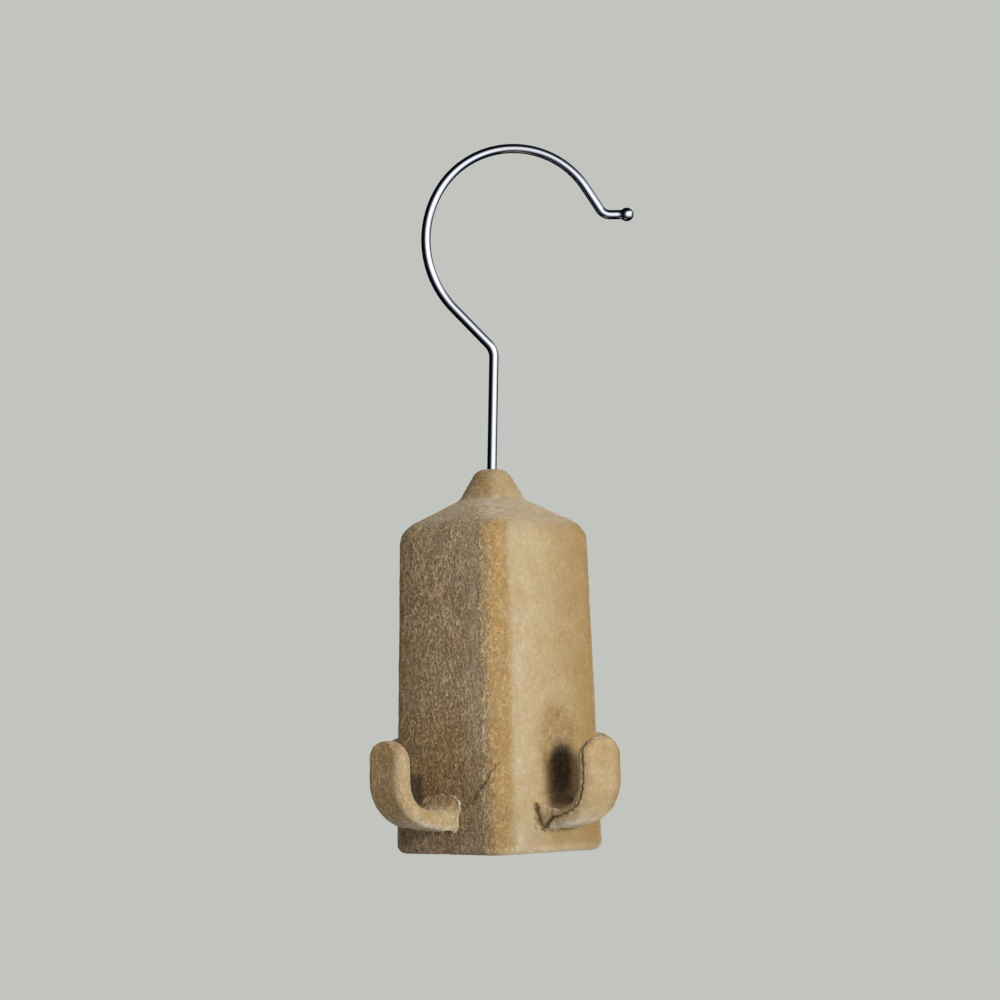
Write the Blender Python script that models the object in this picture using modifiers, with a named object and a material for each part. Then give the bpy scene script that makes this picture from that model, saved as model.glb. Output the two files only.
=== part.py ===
"""Accessory hanger: a flocked square body with four hooks that swivels on a chromed wire hook.

Metres, +Z up. The origin is on the swivel axis, on the underside of the bow, where a rail bears.
The body's faces are square to X and Y. The bow is turned from them, as it hangs at rest.
"""

import math

import bmesh
import bpy
from mathutils import Matrix, Vector

# Fits
FIT_GAP = 0.0003
CUT_OVERRUN = 0.002
END_RUN_SHARE = 0.97
SHARED_RUN_SHARE = 0.48
FULL_ROUND_SHARE = 0.95
WELD_SHARE = 0.01
SHARP_ANGLE = 35.0

# Wire hook
WIRE_DIAMETER = 0.0033
BOW_RADIUS = 0.0289
BOW_BACK_RADIUS = 0.0336
BOW_OFFSET = 0.0090
BOW_BACK_ANGLE = 148.25
BOW_FRONT_ANGLE = 32.05
NECK_SLOPE = 47.05
NECK_BEND_RADIUS = 0.0065
STEM_LENGTH = 0.04105
STEM_LEAN = 2.2
STEM_LEAN_RADIUS = 0.014
STEM_LEAN_DEPTH = 0.0005
STEM_TAIL = 0.003
STEM_END_SHARE = 0.8
LIP_SLOPE = 57.95
LIP_RUN = 0.0114
LIP_BEND_RADIUS = 0.004
LIP_LENGTH = 0.0078
BALL_DIAMETER = 0.0048
BOW_TURN = -42.0
WIRE_STEP = 7.5

# Body shell
NIPPLE_TIP_RADIUS = 0.0049
NIPPLE_TIP_ROUND = 0.0036
NIPPLE_ROOT_RADIUS = 0.0110
NIPPLE_ROOT_FILLET = 0.007
NIPPLE_HEIGHT = 0.010
SHOULDER_FALL = 0.0094
SHOULDER_ROUND = 0.0090
SHOULDER_SIDE = 0.0473
BASE_SIDE = 0.0512
BODY_LENGTH = 0.1261
CORNER_RADIUS = 0.006
WALL = 0.0022
INNER_BASE_ROUND = 0.0004
RIM_WIDTH = 0.0045
BORE_LEAD = 0.0004
PROFILE_STEP = 15.0
CORNER_POINTS = 8

# Boss and gussets inside the shell
BOSS_LENGTH = 0.024
BOSS_RADIUS = 0.0055
BOSS_END_RADIUS = 0.005
BOSS_ROOT_SHARE = 0.75
GUSSET_THICKNESS = 0.0016
GUSSET_REACH_SHARE = 0.68
GUSSET_EDGE = 0.002
GUSSET_STOP = 0.004

# Washer and push-on nut on the stem
WASHER_RADIUS = 0.0055
WASHER_THICKNESS = 0.0008
NUT_RADIUS = 0.0055
NUT_THICKNESS = 0.0005
NUT_RIM_WIDTH = 0.0014
NUT_DISH = 0.0011
NUT_TEETH = 6
NUT_SLOT_WIDTH = 0.0009
TURNED_STEPS = 32

# Accessory hooks
HOOK_WIDTH = 0.0158
HOOK_THICKNESS = 0.0064
HOOK_EDGE_ROUND = 0.0022
HOOK_PROJECTION = 0.0255
HOOK_HEIGHT = 0.0289
HOOK_BEND_RADIUS = 0.0128
HOOK_ABOVE_BASE = 0.0078
TIP_LENGTH = 0.0100
TIP_ROUND = 0.0058
TIP_OUTER_ROUND = 0.0030
TIP_INNER_SET_SHARE = 0.52
TIP_OUTER_SET_SHARE = 0.32
TIP_ANGLES = (0.0, 20.0, 38.0, 54.0, 66.0, 75.0, 82.0)
BEND_ANGLES = (0.0, 15.0, 30.0, 45.0, 60.0, 75.0, 90.0)
PAD_THICKNESS = 0.0014
PAD_ABOVE = 0.0036
PAD_BELOW = 0.0017
PAD_ASIDE = 0.0009
PAD_EDGE_ROUND = 0.0005
PAD_FILLET = 0.0022
PAD_FILLET_SHARE = 0.85
FILLET_ANGLES = (0.0, 30.0, 60.0, 90.0)
SECTION_POINTS = 4

# Snap tang behind each accessory hook
TANG_WIDTH = 0.0084
TANG_THICKNESS = 0.0044
TANG_ROOT = 0.002
TANG_LENGTH = 0.004
TANG_TIP_WIDTH = 0.0062
TANG_SLOT_WIDTH = 0.0032
TANG_BARB = 0.0009

SIDES = {"front": 270.0, "right": 0.0, "back": 90.0, "left": 180.0}

WELD_DISTANCE = FIT_GAP * WELD_SHARE
WIRE_RADIUS = WIRE_DIAMETER / 2
BALL_RADIUS = BALL_DIAMETER / 2
BORE_RADIUS = WIRE_RADIUS + FIT_GAP
WALL_HEIGHT = BODY_LENGTH - NIPPLE_HEIGHT - SHOULDER_FALL
DRAFT = math.atan((BASE_SIDE - SHOULDER_SIDE) / 2 / WALL_HEIGHT)


def clear_scene():
    for obj in list(bpy.data.objects):
        bpy.data.objects.remove(obj, do_unlink=True)


def new_collection(name):
    collection = bpy.data.collections.new(name)
    bpy.context.scene.collection.children.link(collection)
    return collection


def new_material(name, colour, roughness, metallic):
    material = bpy.data.materials.new(name)
    material.use_nodes = True
    shader = material.node_tree.nodes["Principled BSDF"]
    shader.inputs["Base Color"].default_value = (*colour, 1.0)
    shader.inputs["Roughness"].default_value = roughness
    shader.inputs["Metallic"].default_value = metallic
    return material


def polar(angle, radius):
    """The plane offset of the given length at an angle in degrees."""
    turn = math.radians(angle)
    return Vector((math.cos(turn), math.sin(turn))) * radius


def rounded_path(corners, radii, step):
    """Straight runs through the corners, joined by arcs that never take up more than their runs."""
    corners = [Vector(corner) for corner in corners]
    points = [corners[0]]
    for index, radius in enumerate(radii):
        before, corner, after = corners[index : index + 3]
        back = before - corner
        ahead = after - corner
        half_turn = (math.pi - back.angle(ahead)) / 2
        first_room = back.length * (END_RUN_SHARE if index == 0 else SHARED_RUN_SHARE)
        last_room = ahead.length * (END_RUN_SHARE if index == len(radii) - 1 else SHARED_RUN_SHARE)
        radius = min(radius, min(first_room, last_room) / math.tan(half_turn))
        middle = (back.normalized() + ahead.normalized()).normalized()
        centre = corner + middle * radius / math.cos(half_turn)
        start = (corner + back.normalized() * radius * math.tan(half_turn) - centre).normalized()
        end = (corner + ahead.normalized() * radius * math.tan(half_turn) - centre).normalized()
        count = max(2, math.ceil(math.degrees(2 * half_turn) / step))
        for part in range(count + 1):
            points.append(centre + start.slerp(end, part / count) * radius)
    points.append(corners[-1])
    return points


def add_object(name, mesh, collection, material=None):
    obj = bpy.data.objects.new(name, mesh)
    collection.objects.link(obj)
    if material:
        mesh.materials.append(material)
    return obj


def mesh_from(build, name):
    """A mesh whose faces are made by a build function."""
    shape = bmesh.new()
    build(shape)
    mesh = bpy.data.meshes.new(name)
    shape.to_mesh(mesh)
    shape.free()
    return mesh


def hide_helper(obj):
    obj.hide_render = True
    obj.display_type = "WIRE"
    return obj


def smooth(obj):
    obj.data.shade_smooth()
    obj.data.set_sharp_from_angle(angle=math.radians(SHARP_ANGLE))


def add_boolean(obj, other, operation):
    modifier = obj.modifiers.new(other.name, "BOOLEAN")
    modifier.object = other
    modifier.operation = operation
    modifier.solver = "EXACT"


def finished_mesh(obj, name):
    """The object's mesh with its modifiers worked in and its doubles welded."""
    bpy.context.view_layer.update()
    graph = bpy.context.evaluated_depsgraph_get()
    mesh = bpy.data.meshes.new_from_object(obj.evaluated_get(graph))
    mesh.name = name
    shape = bmesh.new()
    shape.from_mesh(mesh)
    bmesh.ops.remove_doubles(shape, verts=shape.verts, dist=WELD_DISTANCE)
    shape.to_mesh(mesh)
    shape.free()
    return mesh


def turned_object(name, profile, collection, material=None):
    """A shape turned about Z from an outline of (radius, height) that runs down its outer side."""
    mesh = bpy.data.meshes.new(name)
    count = len(profile)
    on_axis = profile[0][0] == 0.0
    edges = [(index, (index + 1) % count) for index in range(count - on_axis)]
    mesh.from_pydata([(radius, 0.0, height) for radius, height in profile], edges, [])
    obj = add_object(name, mesh, collection, material)
    screw = obj.modifiers.new("turn", "SCREW")
    screw.steps = TURNED_STEPS
    screw.render_steps = TURNED_STEPS
    screw.use_merge_vertices = True
    screw.merge_threshold = WELD_DISTANCE
    screw.use_normal_calculate = False
    return obj


def plate_mesh(name, outline, thickness):
    """A flat outline in the XY plane, given half its thickness to each side."""
    curve = bpy.data.curves.new(name, "CURVE")
    curve.dimensions = "2D"
    curve.fill_mode = "BOTH"
    curve.extrude = thickness / 2
    spline = curve.splines.new("POLY")
    spline.points.add(len(outline) - 1)
    for point, (x, y) in zip(spline.points, outline):
        point.co = (x, y, 0.0, 1.0)
    spline.use_cyclic_u = True
    obj = bpy.data.objects.new(name, curve)
    bpy.context.scene.collection.objects.link(obj)
    mesh = finished_mesh(obj, name)
    bpy.data.objects.remove(obj, do_unlink=True)
    return mesh


def box_mesh(name, size):
    def build(shape):
        bmesh.ops.create_cube(shape, size=1.0)
        bmesh.ops.scale(shape, vec=size, verts=shape.verts)

    return mesh_from(build, name)


def loft(shape, rings, cap):
    """Joins rings of equal count with a skin, from the lowest ring up. Caps close both its ends."""
    loops = [[shape.verts.new(point) for point in ring] for ring in rings]
    count = len(loops[0])
    for lower, upper in zip(loops, loops[1:]):
        for index in range(count):
            after = (index + 1) % count
            shape.faces.new((lower[index], lower[after], upper[after], upper[index]))
    if cap:
        shape.faces.new(loops[0])
        shape.faces.new(loops[-1])
        bmesh.ops.recalc_face_normals(shape, faces=shape.faces)


def corner_offsets(points):
    """For each point of a rounded outline: the signs of its corner and its unit arc offset."""
    found = []
    for quadrant, signs in enumerate(((1, 1), (-1, 1), (-1, -1), (1, -1))):
        for index in range(points):
            found.append((signs, polar(90 * (quadrant + (index + 0.5) / points), 1.0)))
    return found


def wire_path():
    """The wire's centreline in its own plane, as (across, height), from the stem's end to the ball."""
    crown = math.sqrt((BOW_RADIUS - WIRE_RADIUS) ** 2 - BOW_OFFSET**2)
    front_centre = Vector((BOW_OFFSET, -crown))
    back_centre = front_centre - polar(BOW_BACK_ANGLE, BOW_BACK_RADIUS - BOW_RADIUS)
    back_end = back_centre + polar(270.0 - NECK_SLOPE, BOW_BACK_RADIUS)
    across = (STEM_LENGTH + STEM_LEAN_DEPTH) * math.tan(math.radians(STEM_LEAN))
    neck = Vector((across, back_end.y + (back_end.x - across) * math.tan(math.radians(NECK_SLOPE))))
    mouth = Vector((0.0, neck.y - STEM_LENGTH - STEM_LEAN_DEPTH))
    stem_end = Vector((0.0, neck.y - STEM_LENGTH - BOSS_LENGTH - stem_below_boss()))
    radii = (STEM_LEAN_RADIUS, NECK_BEND_RADIUS)
    points = rounded_path((stem_end, mouth, neck, back_end), radii, WIRE_STEP)
    points.pop()
    turn = 270.0 - NECK_SLOPE
    while turn > BOW_BACK_ANGLE + WIRE_STEP / 2:
        points.append(back_centre + polar(turn, BOW_BACK_RADIUS))
        turn -= WIRE_STEP
    count = math.ceil((BOW_BACK_ANGLE - BOW_FRONT_ANGLE) / WIRE_STEP)
    for index in range(count):
        turn = BOW_BACK_ANGLE + (BOW_FRONT_ANGLE - BOW_BACK_ANGLE) * index / count
        points.append(front_centre + polar(turn, BOW_RADIUS))
    front_end = front_centre + polar(BOW_FRONT_ANGLE, BOW_RADIUS)
    lip = front_end + polar(-LIP_SLOPE, LIP_RUN)
    ball = lip + Vector((LIP_LENGTH, 0.0))
    points += rounded_path((front_end, lip, ball), (LIP_BEND_RADIUS,), WIRE_STEP * 2)
    return points, neck.y


def stem_below_boss():
    return FIT_GAP + WASHER_THICKNESS + FIT_GAP + NUT_THICKNESS + NUT_DISH + STEM_TAIL


def make_swivel_hook(collection, material, points):
    """One formed wire, with the ball at its tip swelling from the same tube."""
    ball = points[-1]
    start = math.degrees(math.asin(WIRE_RADIUS / BALL_RADIUS))
    path = [(point, 1.0) for point in points[:-1]]
    path.insert(0, (points[0], STEM_END_SHARE))
    path[1] = (points[0] + Vector((0.0, WIRE_RADIUS * (1 - STEM_END_SHARE))), 1.0)
    count = math.ceil((180.0 - start) / (WIRE_STEP * 2))
    for index in range(count):
        offset = polar(180.0 - start - (180.0 - start) * index / count, BALL_RADIUS)
        path.append((ball + Vector((offset.x, 0.0)), offset.y / WIRE_RADIUS))
    curve = bpy.data.curves.new("swivel_hook", "CURVE")
    curve.dimensions = "3D"
    curve.bevel_depth = WIRE_RADIUS
    curve.bevel_resolution = 6
    curve.use_fill_caps = True
    spline = curve.splines.new("POLY")
    spline.points.add(len(path) - 1)
    for point, (place, share) in zip(spline.points, path):
        point.co = (place.x, 0.0, place.y, 1.0)
        point.radius = share
    spline.use_smooth = True
    obj = add_object("swivel_hook", curve, collection, material)
    obj.rotation_euler.z = math.radians(BOW_TURN)
    return obj


def make_washer(collection, material, top):
    outline = (
        (BORE_RADIUS, 0.0),
        (WASHER_RADIUS, 0.0),
        (WASHER_RADIUS, -WASHER_THICKNESS),
        (BORE_RADIUS, -WASHER_THICKNESS),
    )
    washer = turned_object("retaining_washer", outline, collection, material)
    washer.location.z = top


def make_push_nut(collection, cutters, material, top):
    """A stamped ring whose dished teeth grip the stem."""
    teeth_root = NUT_RADIUS - NUT_RIM_WIDTH
    outline = (
        (BORE_RADIUS, -NUT_DISH),
        (teeth_root, 0.0),
        (NUT_RADIUS, 0.0),
        (NUT_RADIUS, -NUT_THICKNESS),
        (teeth_root, -NUT_THICKNESS),
        (BORE_RADIUS, -NUT_THICKNESS - NUT_DISH),
    )
    nut = turned_object("push_nut", outline, collection, material)
    nut.location.z = top
    height = 2 * (NUT_THICKNESS + NUT_DISH + CUT_OVERRUN)
    for index in range(NUT_TEETH // 2):
        bar = box_mesh("tooth_slot", (2 * teeth_root, NUT_SLOT_WIDTH, height))
        slot = hide_helper(add_object("tooth_slot", bar, cutters))
        slot.location.z = top
        slot.rotation_euler.z = 2 * math.pi * index / NUT_TEETH
        add_boolean(nut, slot, "DIFFERENCE")


def shell_rings():
    """The shell's outer skin from its turned-in rim up to the bore's mouth: square below, round on top."""
    corners = (
        (BORE_RADIUS + BORE_LEAD, 0.0),
        (NIPPLE_TIP_RADIUS, 0.0),
        (NIPPLE_ROOT_RADIUS, -NIPPLE_HEIGHT),
        (SHOULDER_SIDE / 2, -NIPPLE_HEIGHT - SHOULDER_FALL),
        (BASE_SIDE / 2, -BODY_LENGTH),
        (BASE_SIDE / 2 - RIM_WIDTH, -BODY_LENGTH),
    )
    radii = (NIPPLE_TIP_ROUND, NIPPLE_ROOT_FILLET, SHOULDER_ROUND, WALL + INNER_BASE_ROUND)
    rings = []
    for half, height in rounded_path(corners, radii, PROFILE_STEP):
        spread = (half - NIPPLE_ROOT_RADIUS) / (SHOULDER_SIDE / 2 - NIPPLE_ROOT_RADIUS)
        flat = (SHOULDER_SIDE / 2 - CORNER_RADIUS) * max(spread, 0.0)
        if height < -NIPPLE_HEIGHT - SHOULDER_FALL:
            flat = min(flat, half - CORNER_RADIUS)
        if height < -BODY_LENGTH + radii[-1]:
            flat = BASE_SIDE / 2 - CORNER_RADIUS
        corner = max(half - flat, INNER_BASE_ROUND)
        flat = half - corner
        rings.append(
            [
                (sign_x * flat + arc.x * corner, sign_y * flat + arc.y * corner, height)
                for (sign_x, sign_y), arc in corner_offsets(CORNER_POINTS)
            ]
        )
    return rings[::-1]


def side_matrix(turn, body_top):
    """Local X leaves the sloping face, local Z runs up it, at the height of the hooks' arms."""
    above = HOOK_ABOVE_BASE + HOOK_THICKNESS / 2
    out = BASE_SIDE / 2 - above * math.tan(DRAFT)
    height = body_top - BODY_LENGTH + above
    place = Matrix.Translation((out, 0.0, height))
    return Matrix.Rotation(math.radians(turn), 4, "Z") @ place @ Matrix.Rotation(-DRAFT, 4, "Y")


def make_body_shell(collection, cutters, material, top):
    mesh = mesh_from(lambda shape: loft(shape, shell_rings(), False), "body_shell")
    shell = add_object("body_shell", mesh, collection, material)
    shell.location.z = top
    solidify = shell.modifiers.new("wall", "SOLIDIFY")
    solidify.thickness = WALL
    solidify.offset = -1.0
    solidify.use_even_offset = True
    boss_top = -WALL / 2
    boss_outline = (
        (0.0, boss_top),
        (NIPPLE_TIP_RADIUS * BOSS_ROOT_SHARE, boss_top),
        (BOSS_RADIUS, -NIPPLE_HEIGHT / 2),
        (BOSS_END_RADIUS, -BOSS_LENGTH),
        (0.0, -BOSS_LENGTH),
    )
    boss = hide_helper(turned_object("boss", boss_outline, cutters))
    boss.location.z = top
    add_boolean(shell, boss, "UNION")
    for index in range(2):
        gusset = hide_helper(add_object("gusset", gusset_mesh(), cutters))
        gusset.location.z = top
        gusset.rotation_euler = (math.pi / 2, 0.0, index * math.pi / 2)
        add_boolean(shell, gusset, "UNION")
    bore_outline = (
        (0.0, CUT_OVERRUN),
        (BORE_RADIUS, CUT_OVERRUN),
        (BORE_RADIUS, -BOSS_LENGTH - CUT_OVERRUN),
        (0.0, -BOSS_LENGTH - CUT_OVERRUN),
    )
    bore = hide_helper(turned_object("bore", bore_outline, cutters))
    bore.location.z = top
    add_boolean(shell, bore, "DIFFERENCE")
    window_size = (
        2 * (WALL + CUT_OVERRUN),
        TANG_WIDTH + 2 * FIT_GAP,
        TANG_THICKNESS + 2 * FIT_GAP,
    )
    for side, turn in SIDES.items():
        name = "window_" + side
        window = hide_helper(add_object(name, box_mesh(name, window_size), cutters))
        window.matrix_world = side_matrix(turn, top)
        add_boolean(shell, window, "DIFFERENCE")
    return shell


def gusset_mesh():
    """Two webs in line across the boss, whose top edges lie within the shoulder's wall."""
    reach = SHOULDER_SIDE / 2 * GUSSET_REACH_SHARE
    fall = SHOULDER_FALL / (SHOULDER_SIDE / 2 - NIPPLE_ROOT_RADIUS)
    root = -NIPPLE_HEIGHT - WALL / 2 * math.hypot(1.0, fall)
    end = root - (reach - NIPPLE_ROOT_RADIUS) * fall
    half = (
        (reach, end),
        (reach, end - GUSSET_EDGE),
        (BOSS_END_RADIUS, -BOSS_LENGTH + GUSSET_STOP),
    )
    half = ((NIPPLE_ROOT_RADIUS, root),) + half
    outline = list(half) + [(-across, height) for across, height in reversed(half)]
    return plate_mesh("gusset", outline, GUSSET_THICKNESS)


def section_ring(centre, lean, half_width, inner, outer, round_radius):
    """A rounded section of the hook's arm, square to a path that leans up by the given angle."""
    turn = math.radians(lean)
    towards = Vector((-math.sin(turn), math.cos(turn)))
    room = min(half_width, (inner + outer) / 2) * FULL_ROUND_SHARE
    radius = min(round_radius, room)
    ring = []
    for (sign_y, sign_t), arc in corner_offsets(SECTION_POINTS):
        across = sign_y * (half_width - radius) + arc.x * radius
        middle = (inner - outer) / 2
        depth = middle + sign_t * ((inner + outer) / 2 - radius) + arc.y * radius
        place = Vector(centre) + towards * depth
        ring.append((place.x, across, place.y))
    return ring


def hook_rings():
    """Sections from the pad on the wall, along the arm, round the bend and up to the tongue's tip."""
    half_width = HOOK_WIDTH / 2
    half = HOOK_THICKNESS / 2
    face = FIT_GAP + PAD_THICKNESS

    def pad_ring(along, aside, above, below):
        place = (along, 0.0)
        return section_ring(place, 0.0, half_width + aside, half + above, half + below, HOOK_EDGE_ROUND)

    spreads = (PAD_ASIDE, PAD_ABOVE, PAD_BELOW)
    rings = [pad_ring(FIT_GAP, *spreads), pad_ring(face - PAD_EDGE_ROUND, *spreads)]
    inset = [spread - PAD_EDGE_ROUND for spread in spreads]
    rings.append(pad_ring(face, *inset))
    for angle in FILLET_ANGLES:
        turn = math.radians(angle)
        along = face + PAD_FILLET * (1 - math.cos(turn))
        fillets = [min(PAD_FILLET, room * PAD_FILLET_SHARE) * (1 - math.sin(turn)) for room in inset]
        rings.append(pad_ring(along, *fillets))
    bend_x = HOOK_PROJECTION - half - HOOK_BEND_RADIUS
    for angle in BEND_ANGLES:
        offset = polar(angle - 90.0, HOOK_BEND_RADIUS)
        centre = (bend_x + offset.x, HOOK_BEND_RADIUS + offset.y)
        rings.append(section_ring(centre, angle, half_width, half, half, HOOK_EDGE_ROUND))
    top = HOOK_HEIGHT - half
    for angle in TIP_ANGLES:
        below_tip = TIP_LENGTH * (1 - math.sin(math.radians(angle)))
        inner = half - HOOK_THICKNESS * TIP_INNER_SET_SHARE * rounding(below_tip, TIP_LENGTH)
        outer = half - HOOK_THICKNESS * TIP_OUTER_SET_SHARE * rounding(below_tip, TIP_OUTER_ROUND)
        width = half_width * (1 - rounding(below_tip, TIP_ROUND))
        centre = (HOOK_PROJECTION - half, top - below_tip)
        rings.append(section_ring(centre, 90.0, width, inner, outer, HOOK_EDGE_ROUND))
    return rings


def rounding(distance, length):
    """How far a quarter ellipse has drawn in, from 0 at its length to 1 at its end."""
    share = 1 - min(distance / length, 1.0)
    return 1 - math.sqrt(1 - share**2)


def tang_outline():
    catch = -WALL - FIT_GAP
    half = (
        (TANG_ROOT, TANG_WIDTH / 2),
        (catch, TANG_WIDTH / 2),
        (catch, TANG_WIDTH / 2 + TANG_BARB),
        (catch - TANG_LENGTH, TANG_TIP_WIDTH / 2),
        (catch - TANG_LENGTH, TANG_SLOT_WIDTH / 2),
        (-FIT_GAP, TANG_SLOT_WIDTH / 2),
    )
    return list(half) + [(along, -across) for along, across in reversed(half)]


def make_accessory_hooks(collection, cutters, material, pivot, body_top):
    """The four hooks share one mesh: a lofted arm joined to its snap tang."""
    arm = mesh_from(lambda shape: loft(shape, hook_rings(), True), "hook_arm")
    blank = add_object("hook_blank", arm, cutters)
    tang_mesh = plate_mesh("hook_tang", tang_outline(), TANG_THICKNESS)
    tang = hide_helper(add_object("hook_tang", tang_mesh, cutters))
    add_boolean(blank, tang, "UNION")
    mesh = finished_mesh(blank, "accessory_hook")
    bpy.data.objects.remove(blank, do_unlink=True)
    mesh.materials.clear()
    mesh.materials.append(material)
    for side, turn in SIDES.items():
        hook = add_object("accessory_hook_" + side, mesh, collection)
        hook.parent = pivot
        hook.matrix_world = side_matrix(turn, body_top)
        smooth(hook)


def main():
    clear_scene()
    parts = new_collection("accessory_hanger")
    cutters = new_collection("cutters")
    chrome = new_material("chromed_wire", (0.62, 0.63, 0.66), 0.08, 1.0)
    steel = new_material("spring_steel", (0.40, 0.41, 0.43), 0.35, 1.0)
    flock = new_material("flocked_plastic", (0.47, 0.37, 0.23), 0.95, 0.0)
    points, neck_height = wire_path()
    body_top = neck_height - STEM_LENGTH
    make_swivel_hook(parts, chrome, points)
    washer_top = body_top - BOSS_LENGTH - FIT_GAP
    make_washer(parts, steel, washer_top)
    make_push_nut(parts, cutters, steel, washer_top - WASHER_THICKNESS - FIT_GAP)
    pivot = bpy.data.objects.new("body_pivot", None)
    pivot.location.z = body_top
    parts.objects.link(pivot)
    bpy.context.view_layer.update()
    shell = make_body_shell(parts, cutters, flock, body_top)
    shell.parent = pivot
    shell.matrix_world = Matrix.Translation((0.0, 0.0, body_top))
    smooth(shell)
    make_accessory_hooks(parts, cutters, flock, pivot, body_top)


main()
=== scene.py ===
from math import asin, atan, atan2, ceil, cos, degrees, exp, hypot, pi, radians, sin, sqrt, tan

import bmesh
import bpy
from mathutils import Matrix, Vector, noise


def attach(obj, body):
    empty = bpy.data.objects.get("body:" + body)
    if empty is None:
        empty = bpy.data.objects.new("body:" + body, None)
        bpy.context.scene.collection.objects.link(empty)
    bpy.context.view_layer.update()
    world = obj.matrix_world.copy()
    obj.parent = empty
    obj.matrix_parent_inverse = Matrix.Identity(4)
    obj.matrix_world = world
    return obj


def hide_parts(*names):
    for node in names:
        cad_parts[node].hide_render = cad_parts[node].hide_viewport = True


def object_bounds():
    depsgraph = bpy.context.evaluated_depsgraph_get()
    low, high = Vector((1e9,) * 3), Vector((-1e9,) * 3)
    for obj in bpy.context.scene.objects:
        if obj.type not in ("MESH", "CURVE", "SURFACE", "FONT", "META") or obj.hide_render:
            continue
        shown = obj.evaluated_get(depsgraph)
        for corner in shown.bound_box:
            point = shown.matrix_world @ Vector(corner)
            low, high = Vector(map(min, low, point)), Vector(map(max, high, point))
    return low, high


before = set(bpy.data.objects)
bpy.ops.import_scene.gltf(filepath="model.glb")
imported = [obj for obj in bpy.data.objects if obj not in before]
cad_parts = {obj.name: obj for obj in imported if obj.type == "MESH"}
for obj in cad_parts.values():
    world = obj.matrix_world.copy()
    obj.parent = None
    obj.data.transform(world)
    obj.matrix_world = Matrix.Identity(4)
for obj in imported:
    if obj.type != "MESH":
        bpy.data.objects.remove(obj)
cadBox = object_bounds()
mm = 0.001
print("loaded the packed hanger:", ", ".join(sorted(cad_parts)))


def fromHex(code):  # sRGB hex to linear
    parts = [int(code[i:i + 2], 16) / 255 for i in (1, 3, 5)]
    return tuple(c / 12.92 if c <= 0.04045 else ((c + 0.055) / 1.055) ** 2.4 for c in parts) + (1.0,)


def addNode(tree, kind, values=None, links=None):  # a link comes from a socket, or from a node's first one
    node = tree.nodes.new("ShaderNode" + kind)
    for key, value in (values or {}).items():
        if isinstance(key, str) and hasattr(node, key):
            setattr(node, key, value)
        else:
            node.inputs[key].default_value = value
    for key, source in (links or {}).items():
        tree.links.new(getattr(source, "outputs", [source])[0], node.inputs[key])
    return node


def makeMaterial(name, build, *settings):  # build adds the nodes and gives the shader
    material = bpy.data.materials.new(name)
    material.use_nodes = True
    tree = material.node_tree
    tree.nodes.clear()
    addNode(tree, "OutputMaterial", None, {"Surface": build(tree, *settings)})
    return material


def addObject(name, data):
    made = bpy.data.objects.new(name, data)
    bpy.context.scene.collection.objects.link(made)
    return made


def addMesh(name, bm, material):
    mesh = bpy.data.meshes.new(name)
    bm.to_mesh(mesh)
    bm.free()
    mesh.materials.append(material)
    return addObject(name, mesh)


def finishPiece(name, bm, material, body):
    piece = addMesh(name, bm, material)
    piece.data.shade_smooth()
    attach(piece, body)
    return piece


def planePoint(angle, radius):
    turn = radians(angle)
    return Vector((cos(turn), sin(turn))) * radius


def ramp(value, low, high):  # smooth step from 0 at low to 1 at high
    share = min(max((value - low) / (high - low), 0.0), 1.0)
    return share * share * (3 - 2 * share)


def noiseAt(vert, size, shift=0.0):  # size in mm
    return noise.noise(vert.co / (size * mm) + Vector((shift, 0, 0)))


flockLook = {
    "paintedHighlight": "#E7E5DB",  # painted highlight and sheen: the pale tone of the shoulder, the bottom hem, the fringe by the near corner, lit pad lips and the hooks' undersides
    "cream": "#C6B694",  # upright nap, on the flats
    "gold": "#B29463",  # nap rubbed down behind the hooks and partly along the near corner; also painted shade towards the far corners, low on the faces, on the nipple's X sides and on the hooks' outer faces
    "pink": "#C2A890",  # patches where the fibres lean, and a painted pinkish tint of shade on the tangled faces
    "dusk": "#352C1F",  # bare glue and shade in cracks, and painted shade: the hooks' shadows, towards the far corners, low on the faces, along the pad seams and on the nipple's X sides
    "curlMm": 1.25, "curlSmallMm": 0.72, "smallShare": 0.45,  # curled clumps of fibre, in two sizes
    "fineMm": 0.32, "fineShare": 0.4, "patchMm": 9.0, "streakMm": 1.9,
    "clumpStretch": (1.0, 1.0, 0.78), "streakStretch": (1.0, 1.0, 0.4),  # less in Z draws the pattern out upwards
    "lineShare": 0.10,  # half width of a clump's crest, in noise value
    "leanFrom": 0.48, "leanTo": 0.68, "leanMost": 0.55, "leanShadeTint": 0.4,  # where fibres lean, and how pink; the share from tangle is a painted tint of shade
    "mottle": 0.12, "thinning": 0.12,  # how far patches shift the wear, and streaks the clumps
    "reliefMm": 0.34, "reliefLeast": 0.16,
    "crest": (2.02, 1.92, 1.94), "gap": (0.52, 0.50, 0.42),  # painted highlight on the crests and painted shade in the gaps, where tangled
    "sheen": 0.8, "sheenRough": 0.3, "sheenTint": "#F4E8D2",
}


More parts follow.
